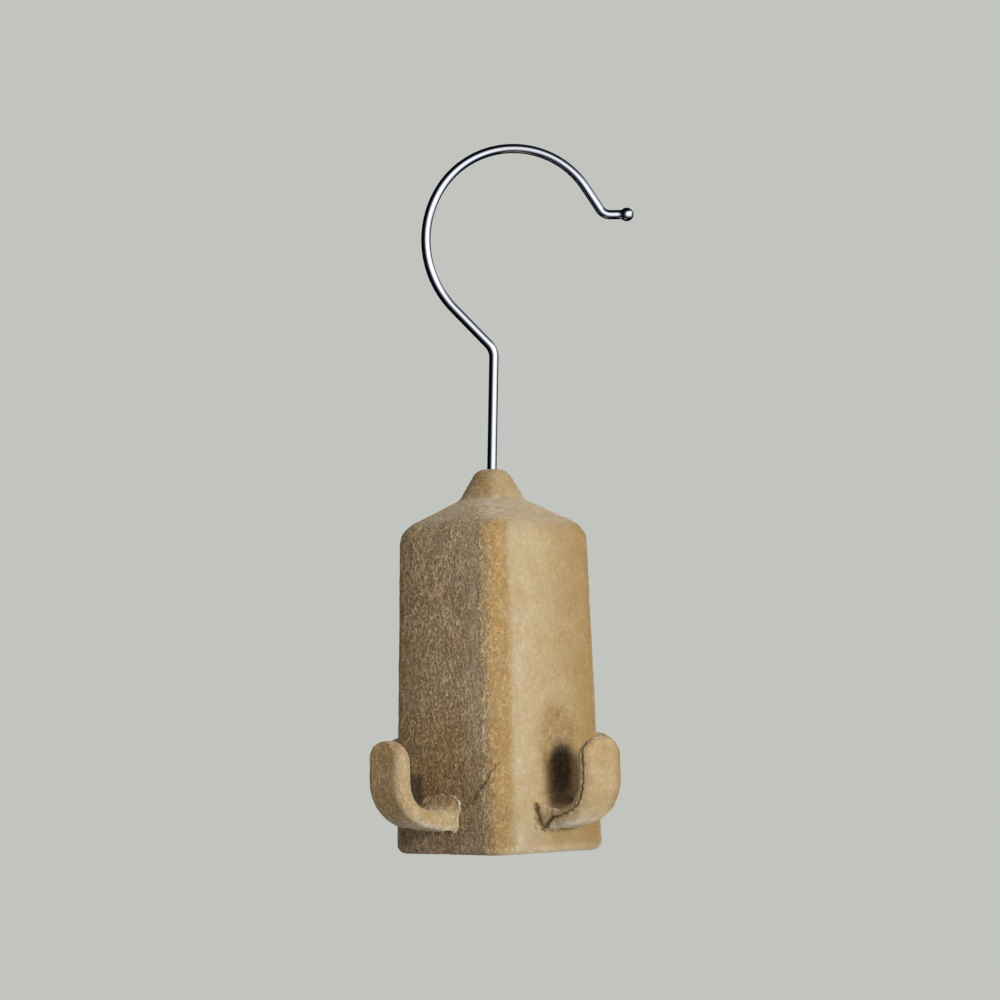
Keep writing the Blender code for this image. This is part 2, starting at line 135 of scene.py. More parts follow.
def flockNodes(tree, s):
    # nylon flock blown on to glue: dull, in curled clumps, with a soft pale sheen at glancing angles
    place = addNode(tree, "TexCoord").outputs["Object"]
    tall = addNode(tree, "VectorMath", {"operation": "MULTIPLY", 1: s["clumpStretch"]}, {0: place})

    def crests(size):  # curled lines where a noise crosses its middle
        waves = addNode(tree, "TexNoise", {
            "Scale": 1 / (size * mm), "Detail": 1.0, "Roughness": 0.4, "Distortion": 0.3,
        }, {"Vector": tall})
        apart = addNode(tree, "Math", {"operation": "SUBTRACT", 1: 0.5}, {0: waves})
        away = addNode(tree, "Math", {"operation": "ABSOLUTE"}, {0: apart})
        return addNode(tree, "MapRange", {
            "interpolation_type": "SMOOTHSTEP", "From Max": s["lineShare"], "To Min": 1.0, "To Max": 0.0,
        }, {"Value": away})

    large, small = crests(s["curlMm"]), crests(s["curlSmallMm"])
    curl = addNode(tree, "Math", {"operation": "MULTIPLY_ADD", 1: s["smallShare"]}, {0: small, 2: large})
    fine = addNode(tree, "TexNoise", {
        "Scale": 1 / (s["fineMm"] * mm), "Detail": 1.0, "Roughness": 0.6,
    }, {"Vector": place})
    patch = addNode(tree, "TexNoise", {
        "Scale": 1 / (s["patchMm"] * mm), "Detail": 4.0, "Roughness": 0.6,
    }, {"Vector": place})
    wearLight, crack, tangleShade = (
        addNode(tree, "Attribute", {"attribute_name": name}).outputs["Fac"]
        for name in ("wearAndPaintedLight", "crackAndPaintedShade", "tangleAndReliefShade")
    )
    lean = addNode(tree, "MapRange", {
        "From Min": s["leanFrom"], "From Max": s["leanTo"], "To Max": s["leanMost"],
    }, {"Value": patch})
    leaning = addNode(tree, "Math", {"operation": "MULTIPLY_ADD", 1: s["leanShadeTint"], "use_clamp": True}, {
        0: tangleShade, 2: lean,
    })
    # below zero, wear turns into the pale tone: painted highlight and sheen
    notHighlighted = addNode(tree, "MapRange", {"From Min": -0.5, "From Max": 0.0}, {"Value": wearLight})
    creamAndHighlight = addNode(tree, "Mix", {"data_type": "RGBA", 6: fromHex(s["paintedHighlight"]), 7: fromHex(s["cream"])}, {0: notHighlighted})
    upright = addNode(tree, "Mix", {"data_type": "RGBA", 7: fromHex(s["pink"])}, {0: leaning, 6: creamAndHighlight.outputs[2]})
    mottle = addNode(tree, "MapRange", {
        "From Min": 0.36, "From Max": 0.64, "To Min": -s["mottle"], "To Max": s["mottle"],
    }, {"Value": patch})
    # above zero, wear deepens the nap to gold: rubbed nap, and also painted shade
    worn = addNode(tree, "Math", {"operation": "ADD", "use_clamp": True}, {0: wearLight, 1: mottle})
    nap = addNode(tree, "Mix", {"data_type": "RGBA", 7: fromHex(s["gold"])}, {0: worn, 6: upright.outputs[2]})
    long = addNode(tree, "VectorMath", {"operation": "MULTIPLY", 1: s["streakStretch"]}, {0: place})
    streak = addNode(tree, "TexNoise", {
        "Scale": 1 / (s["streakMm"] * mm), "Detail": 2.0, "Roughness": 0.5,
    }, {"Vector": long})
    thin = addNode(tree, "MapRange", {
        "From Min": 0.35, "From Max": 0.65, "To Min": -s["thinning"], "To Max": s["thinning"],
    }, {"Value": streak})
    share = addNode(tree, "Math", {"operation": "MULTIPLY_ADD", 1: 1 / (1 + s["smallShare"])}, {0: curl, 2: thin})
    # crests painted lighter and gaps darker, as raking light shows them, as far as the nap is tangled: painted
    # light and shade
    shade = addNode(tree, "Mix", {"data_type": "VECTOR", 4: s["gap"], 5: s["crest"]}, {0: share})
    tone = addNode(tree, "Mix", {"data_type": "VECTOR", 4: (1, 1, 1)}, {0: tangleShade, 5: shade.outputs[1]})
    clumps = addNode(tree, "VectorMath", {"operation": "MULTIPLY"}, {0: nap.outputs[2], 1: tone.outputs[1]})
    # dusk where the nap cracks and where shade is painted
    colour = addNode(tree, "Mix", {"data_type": "RGBA", 7: fromHex(s["dusk"])}, {0: crack, 6: clumps})
    lift = addNode(tree, "MapRange", {"To Min": s["reliefLeast"], "To Max": 1.0}, {"Value": tangleShade})
    stand = addNode(tree, "Math", {"operation": "MULTIPLY"}, {0: curl, 1: lift})
    height = addNode(tree, "Math", {"operation": "MULTIPLY_ADD", 1: s["fineShare"]}, {0: fine, 2: stand})
    bump = addNode(tree, "Bump", {"Strength": 1.0, "Distance": s["reliefMm"] * mm}, {"Height": height})
    return addNode(tree, "BsdfPrincipled", {
        "Roughness": 0.95, "IOR": 1.45, "Specular IOR Level": 0.1, "Sheen Weight": s["sheen"],
        "Sheen Roughness": s["sheenRough"], "Sheen Tint": fromHex(s["sheenTint"]),
    }, {"Base Color": colour.outputs[2], "Normal": bump})


def chromeNodes(tree):
    # drawn steel wire, polished and chrome plated: a hard mirror with faint drawing marks
    place = addNode(tree, "TexCoord").outputs["Object"]
    haze = addNode(tree, "TexNoise", {"Scale": 1 / (2.5 * mm), "Detail": 4.0}, {"Vector": place})
    rough = addNode(tree, "MapRange", {
        "From Min": 0.3, "From Max": 0.7, "To Min": 0.03, "To Max": 0.06,
    }, {"Value": haze})
    bump = addNode(tree, "Bump", {"Strength": 0.04, "Distance": 0.05 * mm}, {"Height": haze})
    return addNode(tree, "BsdfPrincipled", {
        "Base Color": fromHex("#D9DBDF"), "Metallic": 1.0,
    }, {"Roughness": rough, "Normal": bump})


def zincNodes(tree):
    # stamped spring steel with a thin zinc coat: dull grey, with mottled spangle
    place = addNode(tree, "TexCoord").outputs["Object"]
    spangle = addNode(tree, "TexVoronoi", {"Scale": 1 / (0.9 * mm)}, {"Vector": place})
    grain = addNode(tree, "TexNoise", {"Scale": 1 / (0.3 * mm), "Detail": 3.0}, {"Vector": place})
    tone = addNode(tree, "Mix", {"data_type": "RGBA", 6: fromHex("#8E9196"), 7: fromHex("#A9ACB0")}, {0: spangle})
    rough = addNode(tree, "MapRange", {"To Min": 0.3, "To Max": 0.48}, {"Value": grain})
    bump = addNode(tree, "Bump", {"Strength": 0.15, "Distance": 0.05 * mm}, {"Height": grain})
    return addNode(tree, "BsdfPrincipled", {"Metallic": 1.0}, {
        "Base Color": tone.outputs[2], "Roughness": rough, "Normal": bump,
    })


def mouldedNodes(tree):
    # bare injection-moulded ABS inside the shell, with a little stray flock
    place = addNode(tree, "TexCoord").outputs["Object"]
    stray = addNode(tree, "TexNoise", {"Scale": 1 / (0.7 * mm), "Detail": 4.0}, {"Vector": place})
    cloud = addNode(tree, "TexNoise", {"Scale": 1 / (9 * mm), "Detail": 2.0}, {"Vector": place})
    dust = addNode(tree, "MapRange", {"From Min": 0.5, "From Max": 0.62}, {"Value": stray})
    both = addNode(tree, "Math", {"operation": "MULTIPLY", "use_clamp": True}, {0: dust, 1: cloud})
    tone = addNode(tree, "Mix", {"data_type": "RGBA", 6: fromHex("#A88C66"), 7: fromHex("#C2A77B")}, {0: both})
    bump = addNode(tree, "Bump", {"Strength": 0.2, "Distance": 0.1 * mm}, {"Height": both})
    return addNode(tree, "BsdfPrincipled", {"Roughness": 0.55, "IOR": 1.53}, {
        "Base Color": tone.outputs[2], "Normal": bump,
    })


flockNap = makeMaterial("flockedNylonNap", flockNodes, flockLook)
chromePlate = makeMaterial("chromePlatedSteelWire", chromeNodes)
zincSteel = makeMaterial("zincPlatedSpringSteel", zincNodes)
mouldedAbs = makeMaterial("mouldedAbsInside", mouldedNodes)
print("materials made")


wire = {
    "diameter": 3.3 * mm, "sides": 40, "bowTurn": -42.0,
    "bowRadius": 28.9 * mm, "backRadius": 33.6 * mm, "bowOffset": 9.0 * mm,
    "backAngle": 148.25, "frontAngle": 32.05, "neckSlope": 47.05, "neckRadius": 6.5 * mm,
    "stemLength": 41.05 * mm, "stemBelow": 30.0 * mm, "lean": 2.2, "leanDepth": 0.5 * mm, "leanRadius": 14 * mm,
    "lipSlope": 57.95, "lipRun": 11.4 * mm, "lipRadius": 4.0 * mm,
    "lipLength": 7.8 * mm, "ball": 4.8 * mm,
    "stepDegrees": 3.0, "leanStep": 0.8, "ballSteps": 20, "pole": 0.002,
    "chamfer": 0.2,  # at the cut end, as a share of the wire's radius
    "rings": {"inside": 6, "stem": 8, "slope": 4, "lipRun": 2, "lip": 3},  # in each straight run
}


def extrudeRing(bm, edges):
    made = bmesh.ops.extrude_edge_only(bm, edges=edges)["geom"]
    verts = [v for v in made if isinstance(v, bmesh.types.BMVert)]
    return verts, [e for e in made if isinstance(e, bmesh.types.BMEdge) and e.is_boundary]


def runStraight(bm, edges, run, count):
    for _ in range(count):
        verts, edges = extrudeRing(bm, edges)
        bmesh.ops.translate(bm, vec=run / count, verts=verts)
    return edges


def runBend(bm, edges, centre, angle, stepDegrees):
    count = max(1, ceil(abs(angle) / stepDegrees))
    turn = Matrix.Rotation(-radians(angle / count), 3, "Y")  # the wire lies in the XZ plane
    for _ in range(count):
        verts, edges = extrudeRing(bm, edges)
        bmesh.ops.rotate(bm, cent=centre, matrix=turn, verts=verts)
    return edges


def upright(point):
    return Vector((point.x, 0.0, point.y))


def buildWire(s):
    radius = s["diameter"] / 2
    rings, chamfer = s["rings"], radius * s["chamfer"]
    bow, back = s["bowRadius"], s["backRadius"]
    crown = sqrt((bow - radius) ** 2 - s["bowOffset"] ** 2)
    frontCentre = Vector((s["bowOffset"], -crown))
    backCentre = frontCentre - planePoint(s["backAngle"], back - bow)
    backEnd = backCentre + planePoint(270 - s["neckSlope"], back)
    lean = radians(s["lean"])  # the stem leans a little where it leaves the body
    across = (s["stemLength"] + s["leanDepth"]) * tan(lean)
    rise = (backEnd.x - across) * tan(radians(s["neckSlope"]))
    neck = Vector((across, backEnd.y + rise))
    top = neck.y - s["stemLength"]
    pivot = Vector((0.0, top - s["leanDepth"]))
    stemEnd = top - s["stemBelow"]
    neckTurn = 90 - s["neckSlope"] + s["lean"]
    neckTangent = s["neckRadius"] * tan(radians(neckTurn / 2))
    bm = bmesh.new()
    ring = bmesh.ops.create_circle(bm, cap_ends=True, radius=radius - chamfer, segments=s["sides"])["verts"]
    bmesh.ops.translate(bm, vec=(0, 0, stemEnd), verts=ring)
    edges = list({e for v in ring for e in v.link_edges})
    verts, edges = extrudeRing(bm, edges)
    widen = radius / (radius - chamfer)
    bmesh.ops.scale(bm, vec=(widen, widen, 1), verts=verts)
    bmesh.ops.translate(bm, vec=(0, 0, chamfer), verts=verts)
    leanTangent = s["leanRadius"] * tan(lean / 2)
    inside = pivot.y - leanTangent - stemEnd - chamfer
    edges = runStraight(bm, edges, Vector((0, 0, inside)), rings["inside"])
    centre = Vector((s["leanRadius"], 0, pivot.y - leanTangent))
    edges = runBend(bm, edges, centre, -s["lean"], s["leanStep"])
    along = Vector((sin(lean), 0, cos(lean)))
    edges = runStraight(bm, edges, along * ((neck - pivot).length - leanTangent - neckTangent), rings["stem"])
    bendStart = upright(neck) - along * neckTangent
    centre = bendStart + Vector((-cos(lean), 0, sin(lean))) * s["neckRadius"]
    edges = runBend(bm, edges, centre, neckTurn, s["stepDegrees"])
    along = upright((backEnd - neck).normalized())
    edges = runStraight(bm, edges, along * ((backEnd - neck).length - neckTangent), rings["slope"])
    turn = s["backAngle"] - (270 - s["neckSlope"])
    edges = runBend(bm, edges, upright(backCentre), turn, s["stepDegrees"])
    turn = s["frontAngle"] - s["backAngle"]
    edges = runBend(bm, edges, upright(frontCentre), turn, s["stepDegrees"])
    lipSlope = s["lipSlope"]
    lipTangent = s["lipRadius"] * tan(radians(lipSlope / 2))
    along = upright(planePoint(-lipSlope, 1.0))
    edges = runStraight(bm, edges, along * (s["lipRun"] - lipTangent), rings["lipRun"])
    frontEnd = frontCentre + planePoint(s["frontAngle"], bow)
    bendStart = frontEnd + planePoint(-lipSlope, s["lipRun"] - lipTangent)
    centre = bendStart + planePoint(90 - lipSlope, s["lipRadius"])
    edges = runBend(bm, edges, upright(centre), lipSlope, s["stepDegrees"])
    ballRadius = s["ball"] / 2
    start = degrees(asin(radius / ballRadius))
    reach = s["lipLength"] - lipTangent
    ballSet = ballRadius * cos(radians(start))
    edges = runStraight(bm, edges, Vector((reach - ballSet, 0, 0)), rings["lip"])
    ballAt = Vector((centre.x + reach, 0, centre.y - s["lipRadius"]))
    last = radius
    for index in range(1, s["ballSteps"] + 1):
        angle = radians((180 - start) * (1 - index / s["ballSteps"]))
        verts, edges = extrudeRing(bm, edges)
        size = ballRadius * max(sin(angle), s["pole"])
        middle = sum((v.co for v in verts), Vector()) / len(verts)
        bmesh.ops.scale(bm, vec=(1, size / last, size / last), space=Matrix.Translation(-middle), verts=verts)
        bmesh.ops.translate(bm, vec=(ballAt.x + cos(angle) * ballRadius - middle.x, 0, 0), verts=verts)
        last = size
    bmesh.ops.pointmerge(bm, verts=verts, merge_co=Vector((ballAt.x + ballRadius, 0, ballAt.z)))
    turn = Matrix.Rotation(radians(s["bowTurn"]), 3, "Z")
    bmesh.ops.rotate(bm, cent=(0, 0, 0), matrix=turn, verts=bm.verts)
    bmesh.ops.recalc_face_normals(bm, faces=bm.faces)
    return bm


wirePiece = finishPiece("formedWireHook", buildWire(wire), chromePlate, "wire_hook")
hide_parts("swivel_hook")
print("wire hook bent:", len(wirePiece.data.polygons), "faces")


skin = {
    "top": -105.95 * mm,  # nipple's tip
    "walk": 384, "step": 0.64 * mm, "innerWalk": 72, "innerStep": 3.0 * mm,
    "tipRadius": 4.9 * mm, "tipRound": 4.4 * mm, "rootRadius": 11.0 * mm, "rootFillet": 7.0 * mm,
    "nippleHeight": 10.36 * mm, "shoulderFall": 9.4 * mm, "shoulderRound": 9.0 * mm,
    "shoulderSide": 47.3 * mm, "baseSide": 51.2 * mm, "length": 126.46 * mm,
    "corner": 6.0 * mm, "baseRound": 2.6 * mm, "rim": 4.5 * mm, "mouth": 2.35 * mm,
    "leastCorner": 0.4 * mm, "seed": 3.1,
    "nap": 0.14 * mm, "root": 0.35 * mm,  # nap stands this far out, and is rooted this far in
    "swellMm": 0.09, "pebbleMm": 0.05, "curlMm": 0.10,
    "hookAbove": 11.0 * mm,  # the hooks' middle over the base
    "window": (1.0 * mm, 4.9 * mm, 2.9 * mm),  # half depth, width and height of each tang's hole
}
draft = atan((skin["baseSide"] - skin["shoulderSide"]) / 2
             / (skin["length"] - skin["nippleHeight"] - skin["shoulderFall"]))


def roundedProfile(corners, radii, step):  # straight runs joined by arcs, as points about one step apart
    corners = [Vector(c) for c in corners]
    endRoom, midRoom, arcStep = 0.97, 0.48, 0.6  # how much of a run its arcs may take, and how fine they are
    marks = [corners[0]]
    for index, radius in enumerate(radii):
        before, corner, after = corners[index:index + 3]
        back, ahead = before - corner, after - corner
        half = (pi - back.angle(ahead)) / 2
        room = min(back.length * (endRoom if index == 0 else midRoom),
                   ahead.length * (endRoom if index == len(radii) - 1 else midRoom))
        radius = min(radius, room / tan(half))
        centre = corner + (back.normalized() + ahead.normalized()).normalized() * radius / cos(half)
        start = (corner + back.normalized() * radius * tan(half) - centre).normalized()
        end = (corner + ahead.normalized() * radius * tan(half) - centre).normalized()
        count = max(4, ceil(2 * half * radius / (step * arcStep)))
        marks += [centre + start.slerp(end, part / count) * radius for part in range(count + 1)]
    marks.append(corners[-1])
    points = [marks[0]]
    for mark in marks[1:]:
        gap = mark - points[-1]
        count = max(1, round(gap.length / step))
        first = points[-1]
        points += [first + gap * part / count for part in range(1, count + 1)]
    return points


def boxPoint(share, halfWide, halfTall, corner):  # a point on a rounded oblong, by its share of the way round
    flatWide, flatTall, arc = halfWide - corner, halfTall - corner, pi / 2 * corner
    quarter, way = divmod(share * 4, 1)
    way = (1 - way if quarter % 2 else way) * (flatWide + flatTall + arc)
    point = Vector((halfWide, way))
    if way > flatTall + arc:
        point = Vector((flatWide + flatTall + arc - way, halfTall))
    elif way > flatTall:
        point = Vector((flatWide, flatTall)) + planePoint(degrees((way - flatTall) / corner), corner)
    signs = ((1, 1), (-1, 1), (-1, -1), (1, -1))[int(quarter) % 4]
    return Vector((point.x * signs[0], point.y * signs[1]))


def skinRing(s, half, height):  # a ring's corner radius, as the moulding has it
    root, shoulder = s["rootRadius"], s["shoulderSide"] / 2
    flat = (shoulder - s["corner"]) * max((half - root) / (shoulder - root), 0.0)
    if height < -s["nippleHeight"] - s["shoulderFall"]:
        flat = min(flat, half - s["corner"])
    if height < -s["length"] + s["baseRound"]:
        flat = s["baseSide"] / 2 - s["corner"]
    return max(half - flat, s["leastCorner"])


def skinProfile(s, inset, step):
    base, shoulder = s["baseSide"] / 2, s["shoulderSide"] / 2
    corners = (
        (base - s["rim"], inset - s["length"]),
        (base - inset, inset - s["length"]),
        (shoulder - inset, -s["nippleHeight"] - s["shoulderFall"] - inset / 2),
        (s["rootRadius"] - inset / 2, -s["nippleHeight"] - inset),
        (s["tipRadius"] - inset, -inset),
        (s["mouth"], -inset),
    )
    radii = (s["baseRound"] - inset, s["shoulderRound"] - inset, s["rootFillet"] + inset,
             s["tipRound"] - inset)
    return roundedProfile(corners, radii, step)


def layRings(bm, s, profile, count):
    walk = bm.verts.layers.int["walk"]
    verts = bmesh.ops.create_circle(bm, cap_ends=False, radius=1.0, segments=count)["verts"]
    for index, vert in enumerate(verts):
        vert[walk] = index
    edges = first = list({e for v in verts for e in v.link_edges})
    for index, (half, height) in enumerate(profile):
        if index:
            verts, edges = extrudeRing(bm, edges)
        corner = skinRing(s, half, height)
        for vert in verts:
            point = boxPoint(vert[walk] / count, half, half, corner)
            vert.co = (point.x, point.y, height + s["top"])
    return first, edges


def faceOut(bm):
    bmesh.ops.recalc_face_normals(bm, faces=bm.faces)
    if bm.calc_volume(signed=True) < 0:
        bmesh.ops.reverse_faces(bm, faces=bm.faces)


def sideMatrix(turn):  # local X leaves the drafted face, local Z runs up it
    out = skin["baseSide"] / 2 - skin["hookAbove"] * tan(draft)
    place = Matrix.Translation((out, 0, skin["top"] - skin["length"] + skin["hookAbove"]))
    return Matrix.Rotation(radians(turn), 4, "Z") @ place @ Matrix.Rotation(-draft, 4, "Y")


sides = {"front": 270, "right": 0, "back": 90, "left": 180}


def cutWindows(bm):  # the tangs pass through the skin behind each hook's pad
    deep, halfWide, halfTall = skin["window"]
    for turn in sides.values():
        into = sideMatrix(turn).inverted()
        gone = []
        for face in bm.faces:
            at = into @ face.calc_center_median()
            if abs(at.x) < deep and abs(at.y) < halfWide and abs(at.z) < halfTall:
                gone.append(face)
        bmesh.ops.delete(bm, geom=gone, context="FACES")
        bmesh.ops.bridge_loops(bm, edges=[e for e in bm.edges if e.is_boundary])


nap = {  # the nap's own relief: swells, pebbles and curled crests
    "swell": 7.0 * mm, "pebble": 2.2 * mm, "curl": 1.5 * mm,
    "swellNoise": (0.8, 2.0, 3), "pebbleNoise": (0.7, 2.0, 2),  # fade and step of each octave, and how many
    "crestWide": 0.3, "crestMiddle": 0.4, "crestLeast": 0.3,
}


def roughen(bm, verts, s, seed):  # moves the surface along its normals
    shift = Vector((seed, seed * 0.7, 0))
    moves = []
    tangleAndReliefShade = bm.verts.layers.float["tangleAndReliefShade"]
    for vert in verts:
        swell = noise.fractal(vert.co / nap["swell"] + shift, *nap["swellNoise"]) * s["swellMm"]
        pebble = noise.fractal(vert.co / nap["pebble"] + shift, *nap["pebbleNoise"]) * s["pebbleMm"]
        crest = 1 - min(abs(noise.noise(vert.co / nap["curl"] + shift)) / nap["crestWide"], 1.0)
        curl = (crest - nap["crestMiddle"]) * (nap["crestLeast"] + vert[tangleAndReliefShade]) * s["curlMm"]
        moves.append(vert.normal * (swell + pebble + curl) * mm)
    for vert, move in zip(verts, moves):
        vert.co += move


# in the two dictionaries here, runs go across a face from its near corner and depths go down from the nipple's
# tip, in mm; a pair is where a smooth step starts and ends
# several of these tones are painted light and shade: the band, far and low gold, the pale shoulder, fringe and
# hem, the core, and the nipple's darker X sides
wear = {
    "patchMm": 8.0, "patch": 0.14, "grainMm": 1.8, "grain": 0.12,
    "rippleMm": 3.0, "ripple": 0.7, "rippleGrain": 0.9,
    "bandGold": 0.92, "bandGrain": 0.3, "farFrom": 14.0, "farRun": 30.0, "farPower": 1.1,
    "shoulder": (15.5, 20.5), "shoulderPale": 0.5, "shoulderTangled": (0.2, 0.14),
    "low": (70.0, 90.0), "lowest": (112.0, 122.0), "lowShadeGold": 0.7,
    "litRimAt": 5.0, "litRim": (1.8, 0.4), "nearFrom": (5.0, 7.0), "nearTo": (17.0, 6.0),
    "farCorner": (43.0, 49.5), "farTangled": 0.6, "farGold": 0.8,
    "halo": (1.1, 0.45), "haloGold": 0.85, "haloSoiled": 0.12, "haloGrain": 0.14,
    "core": (1.15, 0.55), "coreGrain": 0.3, "corePower": 3.4,  # the power squares the corners of the painted shadow's oval
    "hem": (3.4, 1.2), "hemPale": 0.5, "hemLight": 0.12,
    "nipple": (11.5, 7.5), "nippleTurn": (-6.0, 6.0),
    "nippleGold": (0.45, 0.4, 0.5), "nippleGoldMm": 1.6, "nippleShade": (0.2, 0.35), "nippleShadeMm": 2.1,
    "palest": -0.5,
}
faces = {
    "front": {  # the -Y and +Y faces, painted as lit faces: smooth nap, pale in the middle
        "band": (10.5, 5.4), "bandRipple": 0.6, "bandLess": 0.0,
        "tangleAndReliefShade": 0.14, "tangledMore": 0.24, "tangledRun": (11.0, 5.0), "tangledRipple": 0.0,
        "farGold": 1.0, "lowRun": (12.0, 30.0), "lowestLess": 0.0,
        "farShade": 0.10, "sideRun": (20.0, 46.0), "lowShade": 0.13, "lowDepth": (98.0, 118.0),
        "litRimPale": 0.0, "nearPale": 0.0, "nearTidy": 0.0,
        # hung things have rubbed the nap away over the hook: middle and half size of the stain's halo, and of the
        # core, a painted shadow of the hook
        "haloAt": (5.0, -93.0), "haloSize": (12.5, 20.0), "haloTangled": 0.3,
        "coreAt": (4.9, -99.8), "coreSize": (4.9, 9.8), "coreShadow": 0.76,
    },
    "left": {  # the -X and +X faces, painted as shaded faces: tangled nap, with painted highlight on its crests, painted shade in its gaps, and pink
        "band": (5.6, 3.0), "bandRipple": 1.0, "bandLess": 0.25,
        "tangleAndReliefShade": 0.45, "tangledMore": 0.55, "tangledRun": (3.0, 6.0), "tangledRipple": 1.0,
        "farGold": 0.6, "lowRun": (-2.0, -1.0), "lowestLess": 0.4,
        "farShade": 0.26, "sideRun": (26.0, 44.0), "lowShade": 0.27, "lowDepth": (85.0, 112.0),
        "litRimPale": 0.6, "nearPale": 0.6, "nearTidy": 0.4,
        "haloAt": (8.0, -103.0), "haloSize": (13.0, 13.0), "haloTangled": 0.0,
        "coreAt": (12.6, -106.0), "coreSize": (4.8, 6.8), "coreShadow": 0.72,
    },
}


def stainAndShadowOf(face, across, z, grain):  # (halo, core) over a hook, each from 0 to 1: the halo a rubbed stain, the core a painted shadow of the hook
    middle, size = face["haloAt"], face["haloSize"]
    halo = hypot((across - middle[0]) / size[0], (z - middle[1]) / size[1])
    middle, size, power = face["coreAt"], face["coreSize"], wear["corePower"]
    core = abs((across - middle[0]) / size[0]) ** power + abs((z - middle[1]) / size[1]) ** power
    core = core ** (1 / power) + grain * wear["coreGrain"]
    return ramp(halo, *wear["halo"]), ramp(core, *wear["core"])


def skinTone(vert):
    # three tones: wear, which below zero is painted highlight; tangle, which sets the painted highlight and shade
    # of the relief; and soil with painted shade. Golden along the corners and behind the hooks, pale between,
    # tangled on two sides
    x, y, z = vert.co.x / mm, vert.co.y / mm, (vert.co.z - skin["top"]) / mm
    if x + y > 0:  # the hidden faces get the same wear and painted light and shade as the seen ones
        x, y = -x, -y
    face = faces["front" if y < x else "left"]
    across = max(x, y)
    run = across + max(abs(x), abs(y))
    grain = noiseAt(vert, wear["grainMm"])
    ripple = noiseAt(vert, wear["rippleMm"]) * wear["ripple"] + grain * wear["rippleGrain"]
    # a golden band along the near corner: deeper-toned nap, and painted shade of the rounded corner, less golden
    # on the shaded faces
    band = ramp(run + ripple * face["bandRipple"], *face["band"])
    level = noiseAt(vert, wear["patchMm"]) * wear["patch"]
    level += grain * (wear["grain"] + wear["bandGrain"] * band)
    # tangle, which sets how strongly the relief is painted lit and shaded, grows across each face from its near
    # corner
    tangleAndReliefShade = ramp(run + ripple * face["tangledRipple"], *face["tangledRun"])
    tangleAndReliefShade = face["tangleAndReliefShade"] + face["tangledMore"] * tangleAndReliefShade
    below = ramp(-z, *wear["shoulder"])
    # towards the far corner and low on the faces, round the hooks, the nap is painted darker and more golden and
    # gets dusk: painted shade
    far = min(max((run - wear["farFrom"]) / wear["farRun"], 0.0), 1.0) ** wear["farPower"]
    low = wear["lowShadeGold"] - face["lowestLess"] * ramp(-z, *wear["lowest"])
    low *= ramp(-z, *wear["low"]) * ramp(run, *face["lowRun"])
    wearAndPaintedLight = max(max(band * wear["bandGold"], far * face["farGold"]) * below, low)
    # the shoulder is paler: painted sheen
    wearAndPaintedLight -= wear["shoulderPale"] * (1 - below)
    soilAndShade = face["farShade"] * ramp(run, *face["sideRun"]) * below
    soilAndShade += face["lowShade"] * ramp(-z, *face["lowDepth"])
    # a pale fringe where the lamp's light ends on the near corner, and paler, tidier nap near the corner on the
    # shaded faces: painted highlight
    litRim = ramp(abs(run + ripple - wear["litRimAt"]), *wear["litRim"])
    near = ramp(run, *wear["nearFrom"]) * ramp(run, *wear["nearTo"])
    wearAndPaintedLight -= (face["litRimPale"] * litRim + face["nearPale"] * near + face["bandLess"] * band) * below
    tangleAndReliefShade -= face["nearTidy"] * near * below
    # at the far corner both kinds of face meet in the same darker gold and tangle: painted shade
    corner = ramp(run + ripple, *wear["farCorner"])
    tangleAndReliefShade += (wear["farTangled"] - tangleAndReliefShade) * corner
    wearAndPaintedLight += (wear["farGold"] - wearAndPaintedLight) * corner * below
    # the halo is a rubbed stain; the core adds dusk as a painted shadow of the hook
    halo, core = stainAndShadowOf(face, across, z, grain)
    wearAndPaintedLight = max(wearAndPaintedLight, halo * wear["haloGold"] + level)
    soilAndShade = max(soilAndShade, (wear["haloSoiled"] + wear["haloGrain"] * grain) * halo + face["coreShadow"] * core)
    tangleAndReliefShade = max(tangleAndReliefShade, face["haloTangled"] * halo)
    # a pale hem along the bottom edge, with less dusk: painted highlight
    hem = ramp(z + skin["length"] / mm, *wear["hem"])
    wearAndPaintedLight -= wear["hemPale"] * hem
    soilAndShade -= wear["hemLight"] * hem
    # the nipple is golden, and darker and duskier on its X sides: painted shade
    nipple = ramp(-z, *wear["nipple"])
    nearLeft = ramp(abs(x) - abs(y), *wear["nippleTurn"])
    plain, more, spots = wear["nippleGold"]
    spots *= noiseAt(vert, wear["nippleGoldMm"])
    wearAndPaintedLight = max(wearAndPaintedLight, nipple * (plain + more * nearLeft + spots))
    plain, spots = wear["nippleShade"]
    spots *= noiseAt(vert, wear["nippleShadeMm"])
    soilAndShade = max(soilAndShade, nipple * nearLeft * (plain + spots))
    # on the shoulder the relief is painted lit and shaded more strongly on the X sides
    plain, more = wear["shoulderTangled"]
    tangleAndReliefShade = tangleAndReliefShade * below + (plain + more * nearLeft) * (1 - below)
    return min(max(wearAndPaintedLight + level, wear["palest"]), 1.0), tangleAndReliefShade, min(max(soilAndShade, 0.0), 1.0)


def cornerRun(vert):  # way round the near corner from its middle, in mm
    half = skin["baseSide"] / 2 - (vert.co.z - skin["top"] + skin["length"]) * tan(draft)
    x, y = vert.co.x + half - skin["corner"], vert.co.y + half - skin["corner"]
    quarter = pi / 4 * skin["corner"]
    if x > 0 or y > 0:
        return ((quarter + x) if x > y else -(quarter + y)) / mm
    return (atan2(x, -y) + pi / 4) * skin["corner"] / mm


